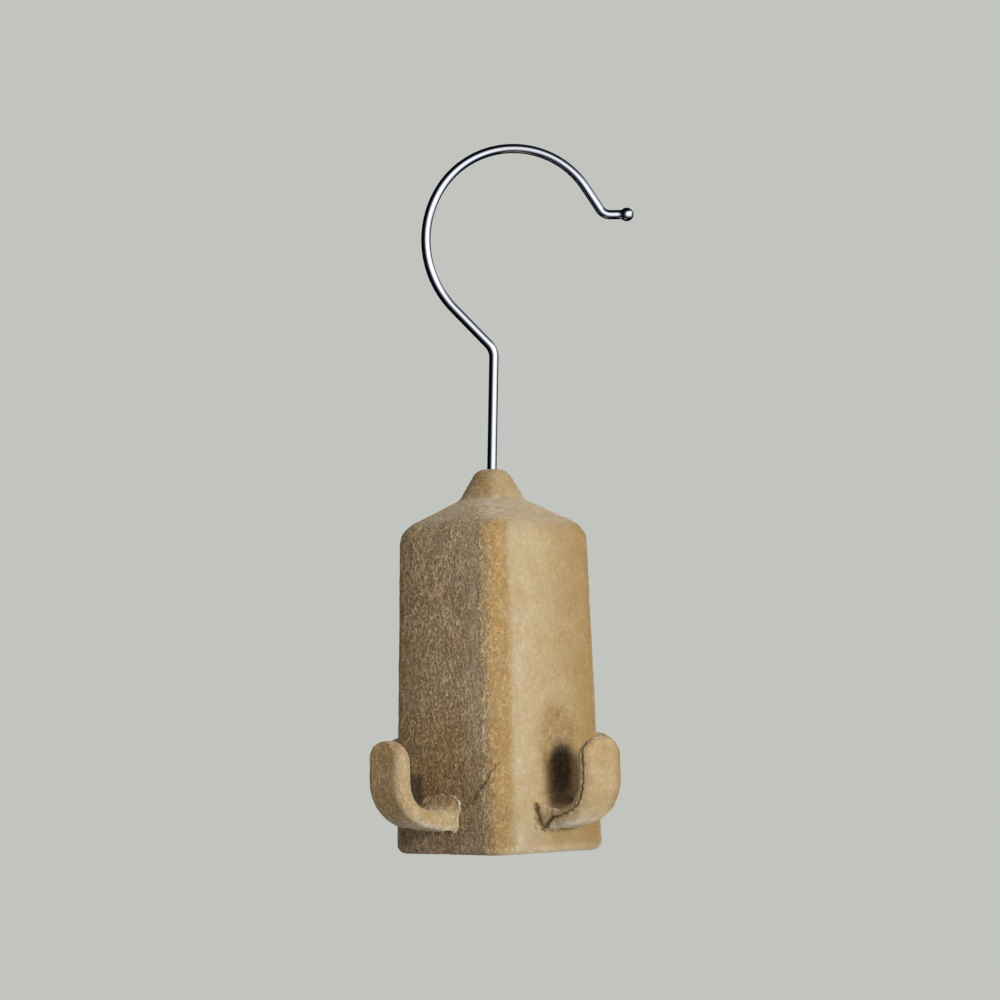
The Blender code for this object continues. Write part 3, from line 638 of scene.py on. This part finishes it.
def nearestOn(points, at):  # (distance, side, share of the way along) of a place near a line of points
    best, side, share = 1e9, 0.0, 0.0
    for index, (start, end) in enumerate(zip(points, points[1:])):
        start, end = Vector(start), Vector(end)
        along = end - start
        part = min(max((at - start).dot(along) / along.length_squared, 0.0), 1.0)
        gap = at - start - along * part
        if gap.length < best:
            best, side = gap.length, along.x * gap.y - along.y * gap.x
            share = (index + part) / (len(points) - 1)
    return best, side, share


crease = {  # a torn lip in the nap, aslant over the near corner: way round it from its middle, and height, in mm
    "points": ((-11.2, -216.8), (-6.8, -213.9), (-3.1, -209.9), (-0.7, -205.4), (1.2, -203.6)),
    "lift": 0.75, "fade": 1.9, "groove": 0.3, "sharp": 0.1, "wide": 0.85, "dark": 0.9,
    "fullFrom": 0.45, "wider": 0.5, "fainter": 0.15,  # its first part is wider, fainter and less lifted
    "wanderMm": (1.4, 1.1), "wander": 0.45, "beyond": -5.0, "middle": -210.0, "reach": 14.0,
}


def tear(vert, s):  # (lift, crack): lifted below and right of the line, split above and left of it
    if max(vert.co.x, vert.co.y) > s["beyond"] * mm or abs(vert.co.z / mm - s["middle"]) > s["reach"]:
        return 0.0, 0.0
    at = Vector((cornerRun(vert), vert.co.z / mm))
    at += Vector([noiseAt(vert, size) for size in s["wanderMm"]]) * s["wander"]
    away, side, share = nearestOn(s["points"], at)
    strength = ramp(share, 0.0, s["fullFrom"])
    if side < 0:
        return s["lift"] * strength * exp(-away / s["fade"]), 0.0
    wide = s["wide"] * (1 + s["wider"] * (1 - strength))
    split = (1 - ramp(away, s["sharp"], wide)) * (1 - s["fainter"] * (1 - strength))
    return -s["groove"] * split, split * s["dark"]


bm = bmesh.new()
bm.verts.layers.int.new("walk")
wearLightLayer = bm.verts.layers.float.new("wearAndPaintedLight")
crackShadeLayer = bm.verts.layers.float.new("crackAndPaintedShade")
tangleShadeLayer = bm.verts.layers.float.new("tangleAndReliefShade")
outerStart, outerEnd = layRings(bm, skin, skinProfile(skin, 0.0, skin["step"]), skin["walk"])
outer = list(bm.verts)
faceOut(bm)
bm.normal_update()
for vert in outer:
    vert[wearLightLayer], vert[tangleShadeLayer], soilAndShade = skinTone(vert)
    lift, split = tear(vert, crease)
    vert[crackShadeLayer] = max(split, soilAndShade)
    vert.co += vert.normal * (skin["nap"] + lift * mm)
roughen(bm, outer, skin, skin["seed"])
innerProfile = skinProfile(skin, skin["root"], skin["innerStep"])
innerStart, innerEnd = layRings(bm, skin, innerProfile, skin["innerWalk"])
bmesh.ops.bridge_loops(bm, edges=outerStart + innerStart)
bmesh.ops.bridge_loops(bm, edges=outerEnd + innerEnd)
cutWindows(bm)
faceOut(bm)
skinPiece = finishPiece("flockedSkin", bm, flockNap, "hanging_body")
print("flocked skin laid:", len(skinPiece.data.polygons), "faces")

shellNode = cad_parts["body_shell"]
shellNode.data.materials.clear()
shellNode.data.materials.append(mouldedAbs)


hook = {
    "walk": 144, "step": 0.34 * mm,
    "width": 15.8 * mm, "thick": 6.4 * mm, "edge": 2.7 * mm, "projection": 25.5 * mm, "height": 28.9 * mm,
    "bend": 12.8 * mm, "hollow": 0.8 * mm, "hollowEnd": (25, 90), "fillet": 5.0 * mm, "filletSteps": 8,
    "gap": 0.1 * mm, "pad": 0.5 * mm, "padAside": 0.55 * mm, "padAbove": 4.8 * mm, "padBelow": 2.5 * mm,
    "padCorner": 4.2 * mm, "padRound": 0.22 * mm, "padRoom": 0.85, "cornerRoom": 0.95,
    # mm out from the gap, and shares of the pad's spread aside, above and below
    "padRings": ((0.0, 0.45, 0.86, 0.7), (0.1, 0.8, 0.95, 0.9), (0.2, 1, 1, 1), (0.28, 1, 1, 1),
                 (0.434, 0.84, 0.96, 0.92)),
    "tipLength": 10.0 * mm, "tipInner": 0.52, "tipOuter": 3.0 * mm, "tipOuterShare": 0.32, "tipRound": 5.8 * mm,
    "tipSteps": 24, "tipTurn": 87,
    "swellMm": 0.20, "pebbleMm": 0.08, "curlMm": 0.09, "seed": 1.3,
    "tilts": {"front": 0.0, "right": 3.4, "back": 3.0, "left": 0.0},  # each snapped in with a little play
    "rough": {"front": 0.0, "right": 0.0, "back": 0.8, "left": 0.8},  # how tangled its nap is, which also sets its painted side tones and how strongly its relief is painted lit and shaded
}


def rounding(distance, length):
    share = 1 - min(distance / length, 1.0)
    return 1 - sqrt(max(1 - share ** 2, 0.0))


def hookRings(s):  # (centre x, centre z, lean, half width, inner depth, outer depth)
    half, halfWide = s["thick"] / 2, s["width"] / 2
    face = s["gap"] + s["pad"]
    aside, above, below = s["padAside"], s["padAbove"], s["padBelow"]
    rings = []

    def pad(x, share):
        wide, inner, outer = halfWide + aside * share[0], half + above * share[1], half + below * share[2]
        rings.append((x, 0, 0, wide, inner, outer))

    for out, *share in s["padRings"]:
        pad(s["gap"] + out * mm, share)
    inset = [spread - s["padRound"] for spread in (aside, above, below)]
    pad(face, (inset[0] / aside, inset[1] / above, inset[2] / below))
    for part in range(s["filletSteps"] + 1):
        turn = pi / 2 * part / s["filletSteps"]
        sizes = [min(s["fillet"], room * s["padRoom"]) * (1 - sin(turn)) for room in inset]
        pad(face + s["fillet"] * (1 - cos(turn)), (sizes[0] / aside, sizes[1] / above, sizes[2] / below))
    bendX = s["projection"] - half - s["bend"]
    start = face + s["fillet"]
    count = ceil((bendX - start) / s["step"])
    for part in range(1, count):
        share = part / count
        rings.append((start + (bendX - start) * share, 0, 0, halfWide, half, half - s["hollow"] * share))
    count = ceil(pi / 2 * s["bend"] / s["step"])
    for part in range(count + 1):
        angle = 90 * part / count
        at = planePoint(angle - 90, s["bend"])
        outer = half - s["hollow"] * (1 - ramp(angle, *s["hollowEnd"]))
        rings.append((bendX + at.x, s["bend"] + at.y, angle, halfWide, half, outer))
    top = s["height"] - half
    straight = top - s["tipLength"] - s["bend"]
    count = ceil(straight / s["step"])
    for part in range(1, count):
        rings.append((s["projection"] - half, s["bend"] + straight * part / count, 90, halfWide, half, half))
    for part in range(s["tipSteps"] + 1):
        below = s["tipLength"] * (1 - sin(radians(s["tipTurn"] * part / s["tipSteps"])))
        inner = half - s["thick"] * s["tipInner"] * rounding(below, s["tipLength"])
        outer = half - s["thick"] * s["tipOuterShare"] * rounding(below, s["tipOuter"])
        wide = halfWide * (1 - rounding(below, s["tipRound"]))
        rings.append((s["projection"] - half, top - below, 90, wide, inner, outer))
    return rings


parting = {  # where the mould's halves met: a ragged seam round the hook's far side, torn open at its root
    "line": 0.08, "armRise": 0.10, "bendFall": 0.21,  # shares of the hook's thickness
    "armRun": (8, 14), "bendLean": (5, 60), "side": 0.8, "from": (5.5, 8.0),
    "deep": 0.26 * mm, "sharp": 0.1 * mm, "wide": 0.6 * mm,
    "strayMm": 1.2, "stray": 0.5 * mm, "crumbMm": 0.8, "crumb": 0.5 * mm, "crumbReach": (1.6 * mm, 0.5 * mm),
    "toneMm": 1.6, "tone": (0.4, 0.4, 0.2), "toneLean": (70, 10),
    "crack": ((0.7, 5.4), (2.0, 1.5), (3.1, -3.4), (5.2, -1.7), (8.2, 0.4)),  # out from the wall, and up, in mm
    "crackWide": (1.05, 0.25), "crackDeep": 0.338 * mm, "crackDark": 0.85, "wanderMm": 0.9, "wander": (0.5, 0.3),
}


def openParting(vert, crackAndPaintedShade, s, x, lean, depth):  # x and lean are the ring's, and depth is from its middle
    line = s["line"] + s["armRise"] * ramp(x / mm, *s["armRun"]) - s["bendFall"] * ramp(lean, *s["bendLean"])
    off = depth - hook["thick"] * line
    stray = noiseAt(vert, s["strayMm"]) * s["stray"]
    split = (1 - ramp(abs(off + stray), s["sharp"], s["wide"])) * ramp(x / mm, *s["from"])
    at = Vector((vert.co.x, vert.co.z)) / mm + Vector(s["wander"]) * noiseAt(vert, s["wanderMm"])
    torn = ramp(nearestOn(s["crack"], at)[0], *s["crackWide"])
    crumb = max(noiseAt(vert, s["crumbMm"]), 0.0) * s["crumb"] * ramp(abs(off), *s["crumbReach"])
    vert.co.y += s["deep"] * split + s["crackDeep"] * torn - crumb * (1 - split)
    plain, spots, arm = s["tone"]
    spots *= min(max(noiseAt(vert, s["toneMm"]) + 0.5, 0.0), 1.0)
    vert[crackAndPaintedShade] = max(split * (plain + spots + arm * ramp(lean, *s["toneLean"])), torn * s["crackDark"])


def buildHook(s):
    bm = bmesh.new()
    walk = bm.verts.layers.int.new("walk")
    for name in ("wearAndPaintedLight", "crackAndPaintedShade", "tangleAndReliefShade"):
        bm.verts.layers.float.new(name)
    crackAndPaintedShade = bm.verts.layers.float["crackAndPaintedShade"]
    verts = bmesh.ops.create_circle(bm, cap_ends=True, radius=1.0, segments=s["walk"])["verts"]
    for index, vert in enumerate(verts):
        vert[walk] = index
    edges = list(bm.edges)
    face = s["gap"] + s["pad"]
    for index, (x, z, lean, halfWide, inner, outer) in enumerate(hookRings(s)):
        if index:
            verts, edges = extrudeRing(bm, edges)
        turn = radians(lean)
        root = 1 - ramp(x, face, face + s["fillet"])
        edge = s["edge"] + (s["padCorner"] - s["edge"]) * root
        half = (inner + outer) / 2
        corner = min(edge, halfWide * s["cornerRoom"], half * s["cornerRoom"])
        for vert in verts:
            vert[crackAndPaintedShade] = 0.0
            point = boxPoint(vert[walk] / s["walk"], halfWide, half, corner)
            depth = point.y + (inner - outer) / 2
            vert.co = (x - sin(turn) * depth, point.x, z + cos(turn) * depth)
            if point.x < -halfWide * parting["side"] and x > face:
                openParting(vert, crackAndPaintedShade, parting, x, lean, depth)
    bmesh.ops.contextual_create(bm, geom=edges)
    return bm


tang = {  # one leg's outline, out from the wall's face and aside, and half its height, in mm
    "leg": ((2.0, 4.2), (-2.5, 4.2), (-2.5, 5.1), (-6.5, 3.1), (-6.5, 1.6), (-0.3, 1.6), (-0.3, 0.4), (2.0, 0.4)),
    "half": 2.2,
}


def addTang(bm, s):  # two sprung legs with barbs, as flat plates
    for sign in (1, -1):
        verts = [bm.verts.new((x * mm, sign * y * mm, -s["half"] * mm)) for x, y in s["leg"]]
        face = bm.faces.new(verts if sign > 0 else verts[::-1])
        made = bmesh.ops.extrude_face_region(bm, geom=[face])["geom"]
        tops = [v for v in made if isinstance(v, bmesh.types.BMVert)]
        bmesh.ops.translate(bm, vec=(0, 0, 2 * s["half"] * mm), verts=tops)


padEdge = {  # each tooth has its middle, half width and share of the depth; "tooth" is the least and most depth
    "teeth": ((6.9, 2.0, 1.0), (0.6, 1.3, 0.55), (-3.4, 1.0, 0.35), (-7.6, 1.8, 0.9)),
    "tooth": (0.12, 1.2), "taper": 0.17, "lumpMm": 2.1, "lump": 0.5 * mm, "lumpRun": 7 * mm,
    # crack: dusk along the pad's edge against the wall, a painted shade in the seam
    "rim": 0.75 * mm, "crackUp": (1.0, -3.0), "crackMm": 1.5, "crack": (0.4, 0.6),
    "paintedHighlight": 1.2, "paleAside": (4.5, 7.0), "lumpSeed": 9, "bulgeSeed": 5,
    "sink": 0.36 * mm, "sinkAside": (2.0, 6.0), "sinkUp": (-6.0, -1.0),
    "wanderMm": 2.2, "wander": 0.75 * mm, "bulgeMm": 1.3, "bulge": 0.5 * mm,
}


def raggedPad(bm, s):  # the pad's lower edge breaks into teeth, its outline wanders, and its far edge sinks in
    half, face = hook["thick"] / 2, hook["gap"] + hook["pad"]
    end = face + hook["fillet"]
    wearAndPaintedLight, crackAndPaintedShade = bm.verts.layers.float["wearAndPaintedLight"], bm.verts.layers.float["crackAndPaintedShade"]
    for vert in bm.verts:
        if vert.co.z > 0 and vert.co.x > face:
            lump = noiseAt(vert, s["lumpMm"], s["lumpSeed"]) * s["lump"]
            vert.co.z += lump * ramp(vert.co.x, end + s["lumpRun"], end)
        root = ramp(vert.co.x, end, face)
        if root <= 0:
            continue
        vert.co.y *= 1 + s["taper"] * root * vert.co.z / (half + hook["padBelow"])
        across, down = vert.co.y / mm, -vert.co.z - half
        if down > 0:
            tooth = max(share * max(1 - abs(across - middle) / wide, 0.0) for middle, wide, share in s["teeth"])
            vert.co.z = -half - down * (1 - root + root * min(s["tooth"][0] + tooth, s["tooth"][1]))
        near = ramp(vert.co.x, hook["gap"] + s["rim"], hook["gap"])
        # on the -Y side, dusk along the pad's edge against the wall: painted shade in the seam
        if vert.co.y < 0:
            plain, spots = s["crack"]
            spots *= noiseAt(vert, s["crackMm"])
            near *= ramp(vert.co.z / mm, *s["crackUp"])
            vert[crackAndPaintedShade] = max(vert[crackAndPaintedShade], near * (plain + spots))
            sink = s["sink"] * ramp(-vert.co.y / mm, *s["sinkAside"]) * ramp(vert.co.z / mm, *s["sinkUp"])
            vert.co.x = max(vert.co.x - sink * root, min(vert.co.x, hook["gap"]))
        else:
            # a pale lip on the lit side: painted highlight
            vert[wearAndPaintedLight] -= s["paintedHighlight"] * near * ramp(vert.co.y / mm, *s["paleAside"])
        out = Vector((0, vert.co.y, vert.co.z)).normalized()
        vert.co += out * noiseAt(vert, s["wanderMm"]) * s["wander"] * root
        bulge = abs(noiseAt(vert, s["bulgeMm"], s["bulgeSeed"])) * s["bulge"]
        vert.co.x += bulge * root * ramp(vert.co.x, hook["gap"], face)


hookWear = {  # pairs are the ends of smooth steps aside, up or out from the wall, in mm
    "gold": 0.42, "patchMm": 4.0, "patch": 0.3, "grainMm": 1.8, "grain": 0.15, "palest": -0.5,
    # the side, underside, outer and root tones here are painted shade and painted light
    "lit": (2.5, 7.4), "litGold": 0.55, "litRough": 0.72, "litShade": 0.16, "litTidy": 0.6,
    "underLight": 0.75, "underRun": (24.0, 16.0), "outerShadeGold": 0.4, "outAside": (7.0, 3.5),
    "rootShadow": 0.55, "rootShadowAt": 4.9, "rootShadowAside": (6.0, 3.2), "rootShadowUp": (1.8, 4.2), "rootShadowRun": (3.0, 1.0),
    "tangleAndReliefShade": 0.16, "roughTangled": 0.4,
}


def hookTones(bm, s, seed, rough):  # golden outside and on one side, pale below, dusky at the root: painted shade on the outer faces and that side, painted light below, and the body's painted shadow at the root
    wearAndPaintedLight, tangleAndReliefShade, crackAndPaintedShade = (bm.verts.layers.float[name] for name in ("wearAndPaintedLight", "tangleAndReliefShade", "crackAndPaintedShade"))
    bm.normal_update()
    for vert in bm.verts:
        x, y, z = vert.co / mm
        level = s["gold"] + noiseAt(vert, s["patchMm"], seed) * s["patch"]
        level += noiseAt(vert, s["grainMm"]) * s["grain"]
        # the local +Y side: on the front and right hooks it turns from the lamp and is painted darker gold with
        # some dusk, as shade; on the back and left hooks its nap is painted smoother
        lit = ramp(y, *s["lit"])
        level += lit * (s["litGold"] - s["litRough"] * rough)
        # paler underneath near the wall: painted light from below
        level -= s["underLight"] * max(-vert.normal.z, 0.0) * ramp(x, *s["underRun"])
        # darker gold on the outer faces of the rough hooks: painted shade
        level += s["outerShadeGold"] * ramp(abs(y), *s["outAside"]) * max(vert.normal.x, 0.0) * rough
        vert[wearAndPaintedLight] = min(max(level, s["palest"]), 1.0)
        # dusk at the root, under the body's painted shadow: painted shadow
        rootShadow = ramp(abs(y - s["rootShadowAt"]), *s["rootShadowAside"]) * ramp(z, *s["rootShadowUp"])
        rootShadow *= s["rootShadow"] * ramp(x, *s["rootShadowRun"])
        vert[crackAndPaintedShade] = max(vert[crackAndPaintedShade], (s["litShade"] * lit + rootShadow) * (1 - rough))
        vert[tangleAndReliefShade] = s["tangleAndReliefShade"] + s["roughTangled"] * rough * (1 - s["litTidy"] * lit)


for side, turn in sides.items():
    bm = buildHook(hook)
    bmesh.ops.recalc_face_normals(bm, faces=bm.faces)
    hookTones(bm, hookWear, turn / 40, hook["rough"][side])
    raggedPad(bm, padEdge)
    bm.normal_update()
    roughen(bm, bm.verts, hook, hook["seed"] + turn / 50)  # each side has its own noise
    addTang(bm, tang)
    bmesh.ops.recalc_face_normals(bm, faces=bm.faces)
    tilt = Matrix.Rotation(-radians(hook["tilts"][side]), 4, "Y")
    bmesh.ops.transform(bm, matrix=sideMatrix(turn) @ tilt, verts=bm.verts)
    piece = finishPiece("flockedHook." + side, bm, flockNap, "hanging_body")
    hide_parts("accessory_hook_" + side)
print("accessory hooks shaped")

for name in ("retaining_washer", "push_nut"):
    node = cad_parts[name]
    node.data.materials.clear()
    node.data.materials.append(zincSteel)


stage = {
    "floorDrop": 170 * mm, "floorSize": 6.0, "backdrop": "#C2C5BF", "floor": "#C9C8C2",
    "fadeFrom": 0.30, "fadeTo": 0.75, "ambient": 0.085, "ambientTint": "#FFF4F6",
}


def seenBy(tree, *rays):  # 1 for rays of these kinds and 0 for others
    path = addNode(tree, "LightPath")
    seen = path.outputs[rays[0]]
    for ray in rays[1:]:
        seen = addNode(tree, "Math", {"operation": "MAXIMUM"}, {0: seen, 1: path.outputs[ray]})
    return seen


def floorNodes(tree, s):
    # matt painted board that fades into the backdrop's tone away from the object
    place = addNode(tree, "TexCoord").outputs["Object"]
    away = addNode(tree, "VectorMath", {"operation": "LENGTH"}, {0: place})
    fade = addNode(tree, "MapRange", {
        "interpolation_type": "SMOOTHSTEP", "From Min": s["fadeFrom"], "From Max": s["fadeTo"],
    }, {"Value": away.outputs["Value"]})
    seen = seenBy(tree, "Is Camera Ray", "Is Glossy Ray")
    share = addNode(tree, "Math", {"operation": "MULTIPLY"}, {0: fade, 1: seen})
    paint = addNode(tree, "BsdfDiffuse", {"Color": fromHex(s["floor"])})
    glow = addNode(tree, "Emission", {"Color": fromHex(s["backdrop"])})
    return addNode(tree, "MixShader", None, {0: share, 1: paint, 2: glow})


def makeStage(s):
    low = cadBox[0].z - s["floorDrop"]
    bm = bmesh.new()
    bmesh.ops.create_grid(bm, x_segments=1, y_segments=1, size=s["floorSize"] / 2)
    bmesh.ops.translate(bm, vec=(0, 0, low), verts=bm.verts)
    floor = addMesh("floor", bm, makeMaterial("paintedFloor", floorNodes, s))
    floor.visible_glossy = False
    world = bpy.data.worlds.new("paleRoom")
    bpy.context.scene.world = world
    world.use_nodes = True
    tree = world.node_tree
    tree.nodes.clear()
    seen = seenBy(tree, "Is Camera Ray", "Is Glossy Ray", "Is Transmission Ray")
    ambient = addNode(tree, "Background", {"Color": fromHex(s["ambientTint"]), "Strength": s["ambient"]})
    backdrop = addNode(tree, "Background", {"Color": fromHex(s["backdrop"]), "Strength": 1.0})
    both = addNode(tree, "MixShader", None, {0: seen, 1: ambient, 2: backdrop})
    addNode(tree, "OutputWorld", None, {"Surface": both})


def heading(azimuth, elevation):  # unit vector from the object; 0 looks along +Y, 90 along -X
    a, e = radians(azimuth), radians(elevation)
    return Vector((sin(a) * cos(e), -cos(a) * cos(e), sin(e)))


tent = {  # white cards with black flags between them, which only the chrome sees: levels by degrees off its aim
    "centre": (0, 0, -0.06), "radius": 0.75, "subdivisions": 6, "azimuth": -43.2, "elevation": -9.0,
    "cool": "#7C84B4", "back": (144, 156), "backLevel": 0.9, "skew": 0.25,
    "across": ((-60, 0.012), (-38, 0.07), (-18, 0.45), (2, 1.05), (14, 1.4),
               (64, 1.45), (90, 0.76), (110, 0.16), (130, 0.05)),
    "along": ((-70, 0.012), (-52, 0.06), (-32, 0.38), (-14, 0.85), (5, 1.05),
              (25, 1.1), (42, 0.55), (60, 0.07), (80, 0.015)),
}


def readCurve(marks, value):
    if value <= marks[0][0]:
        return marks[0][1]
    for (a, low), (b, high) in zip(marks, marks[1:]):
        if value <= b:
            return low + (high - low) * ramp(value, a, b)
    return marks[-1][1]


def cardNodes(tree, s):
    level = addNode(tree, "Attribute", {"attribute_name": "glow"}).outputs["Fac"]
    tint = addNode(tree, "Mix", {"data_type": "RGBA", 6: fromHex(s["cool"]), 7: fromHex("#FFFFFF")}, {0: level})
    return addNode(tree, "Emission", None, {"Color": tint.outputs[2], "Strength": level})


def makeTent(s):
    aim = heading(s["azimuth"], s["elevation"])
    right = Vector((-aim.y, aim.x, 0)).normalized()
    up = aim.cross(right)
    bm = bmesh.new()
    bmesh.ops.create_icosphere(bm, subdivisions=s["subdivisions"], radius=s["radius"])
    glow = bm.verts.layers.float.new("glow")
    for vert in bm.verts:
        way = vert.co.normalized()
        turn = degrees(way.angle(aim))
        bearing = atan2(way.dot(up), way.dot(right))
        across, along = turn * cos(bearing), turn * sin(bearing)
        if across > 0 and along > 0:
            along -= across * s["skew"]
        back = s["backLevel"] * ramp(turn, *s["back"])
        vert[glow] = max(readCurve(s["across"], across) * readCurve(s["along"], along), back)
    bmesh.ops.translate(bm, vec=s["centre"], verts=bm.verts)
    card = addMesh("cardAndFlags", bm, makeMaterial("cardAndFlagCloth", cardNodes, s))
    card.visible_camera = card.visible_diffuse = card.visible_transmission = card.visible_shadow = False


lamps = {
    "aimedAt": (0, 0, -0.13),
    # azimuth, elevation, distance, diameter, power and colour
    "key": (-14, 5, 1.3, 0.26, 14.1, "#FFFBF4"),
    "top": (-43, 68, 1.3, 0.5, 2.0, "#FFFDFB"),
    "backLeft": (192, 14, 1.5, 0.6, 6.6, "#FFFCFA"),
    "backRight": (122, 16, 1.5, 0.6, 9.5, "#FFFCFA"),
}


def makeLamp(name, azimuth, elevation, distance, size, power, colour):
    data = bpy.data.lights.new(name, "AREA")
    data.shape = "DISK"
    data.size = size
    data.energy = power
    data.color = fromHex(colour)[:3]
    lamp = addObject(name, data)
    aim = heading(azimuth, elevation)
    lamp.location = Vector(lamps["aimedAt"]) + aim * distance
    lamp.rotation_mode = "QUATERNION"
    lamp.rotation_quaternion = aim.to_track_quat("Z", "Y")
    lamp.visible_glossy = False  # the chrome sees the card in its place


shot = {
    "lens": 97.92, "azimuth": -43.2, "distance": 0.906, "height": -0.19397, "aside": 2.55 * mm,
    "pitch": 4.92, "roll": 1.2, "sensor": 36, "clip": (0.01, 20),
}


def makeCamera(s):
    towards = heading(s["azimuth"], 0)
    right = Vector((-towards.y, towards.x, 0))
    pitch, roll = radians(s["pitch"]), radians(s["roll"])
    ahead = -towards * cos(pitch) + Vector((0, 0, sin(pitch)))
    up = towards * sin(pitch) + Vector((0, 0, cos(pitch)))
    across = right * cos(roll) - up * sin(roll)
    top = right * sin(roll) + up * cos(roll)
    data = bpy.data.cameras.new("camera")
    data.lens = s["lens"]
    data.sensor_width = s["sensor"]
    data.clip_start, data.clip_end = s["clip"]
    place = Matrix((across, top, -ahead)).transposed().to_4x4()
    place.translation = towards * s["distance"] + right * s["aside"] + Vector((0, 0, s["height"]))
    camera = addObject("camera", data)
    camera.matrix_world = place
    bpy.context.scene.camera = camera


makeStage(stage)
makeTent(tent)
for name in ("key", "top", "backLeft", "backRight"):
    makeLamp(name, *lamps[name])
makeCamera(shot)
bpy.context.scene.view_settings.view_transform = "Standard"
print("stage, lamps and camera set")
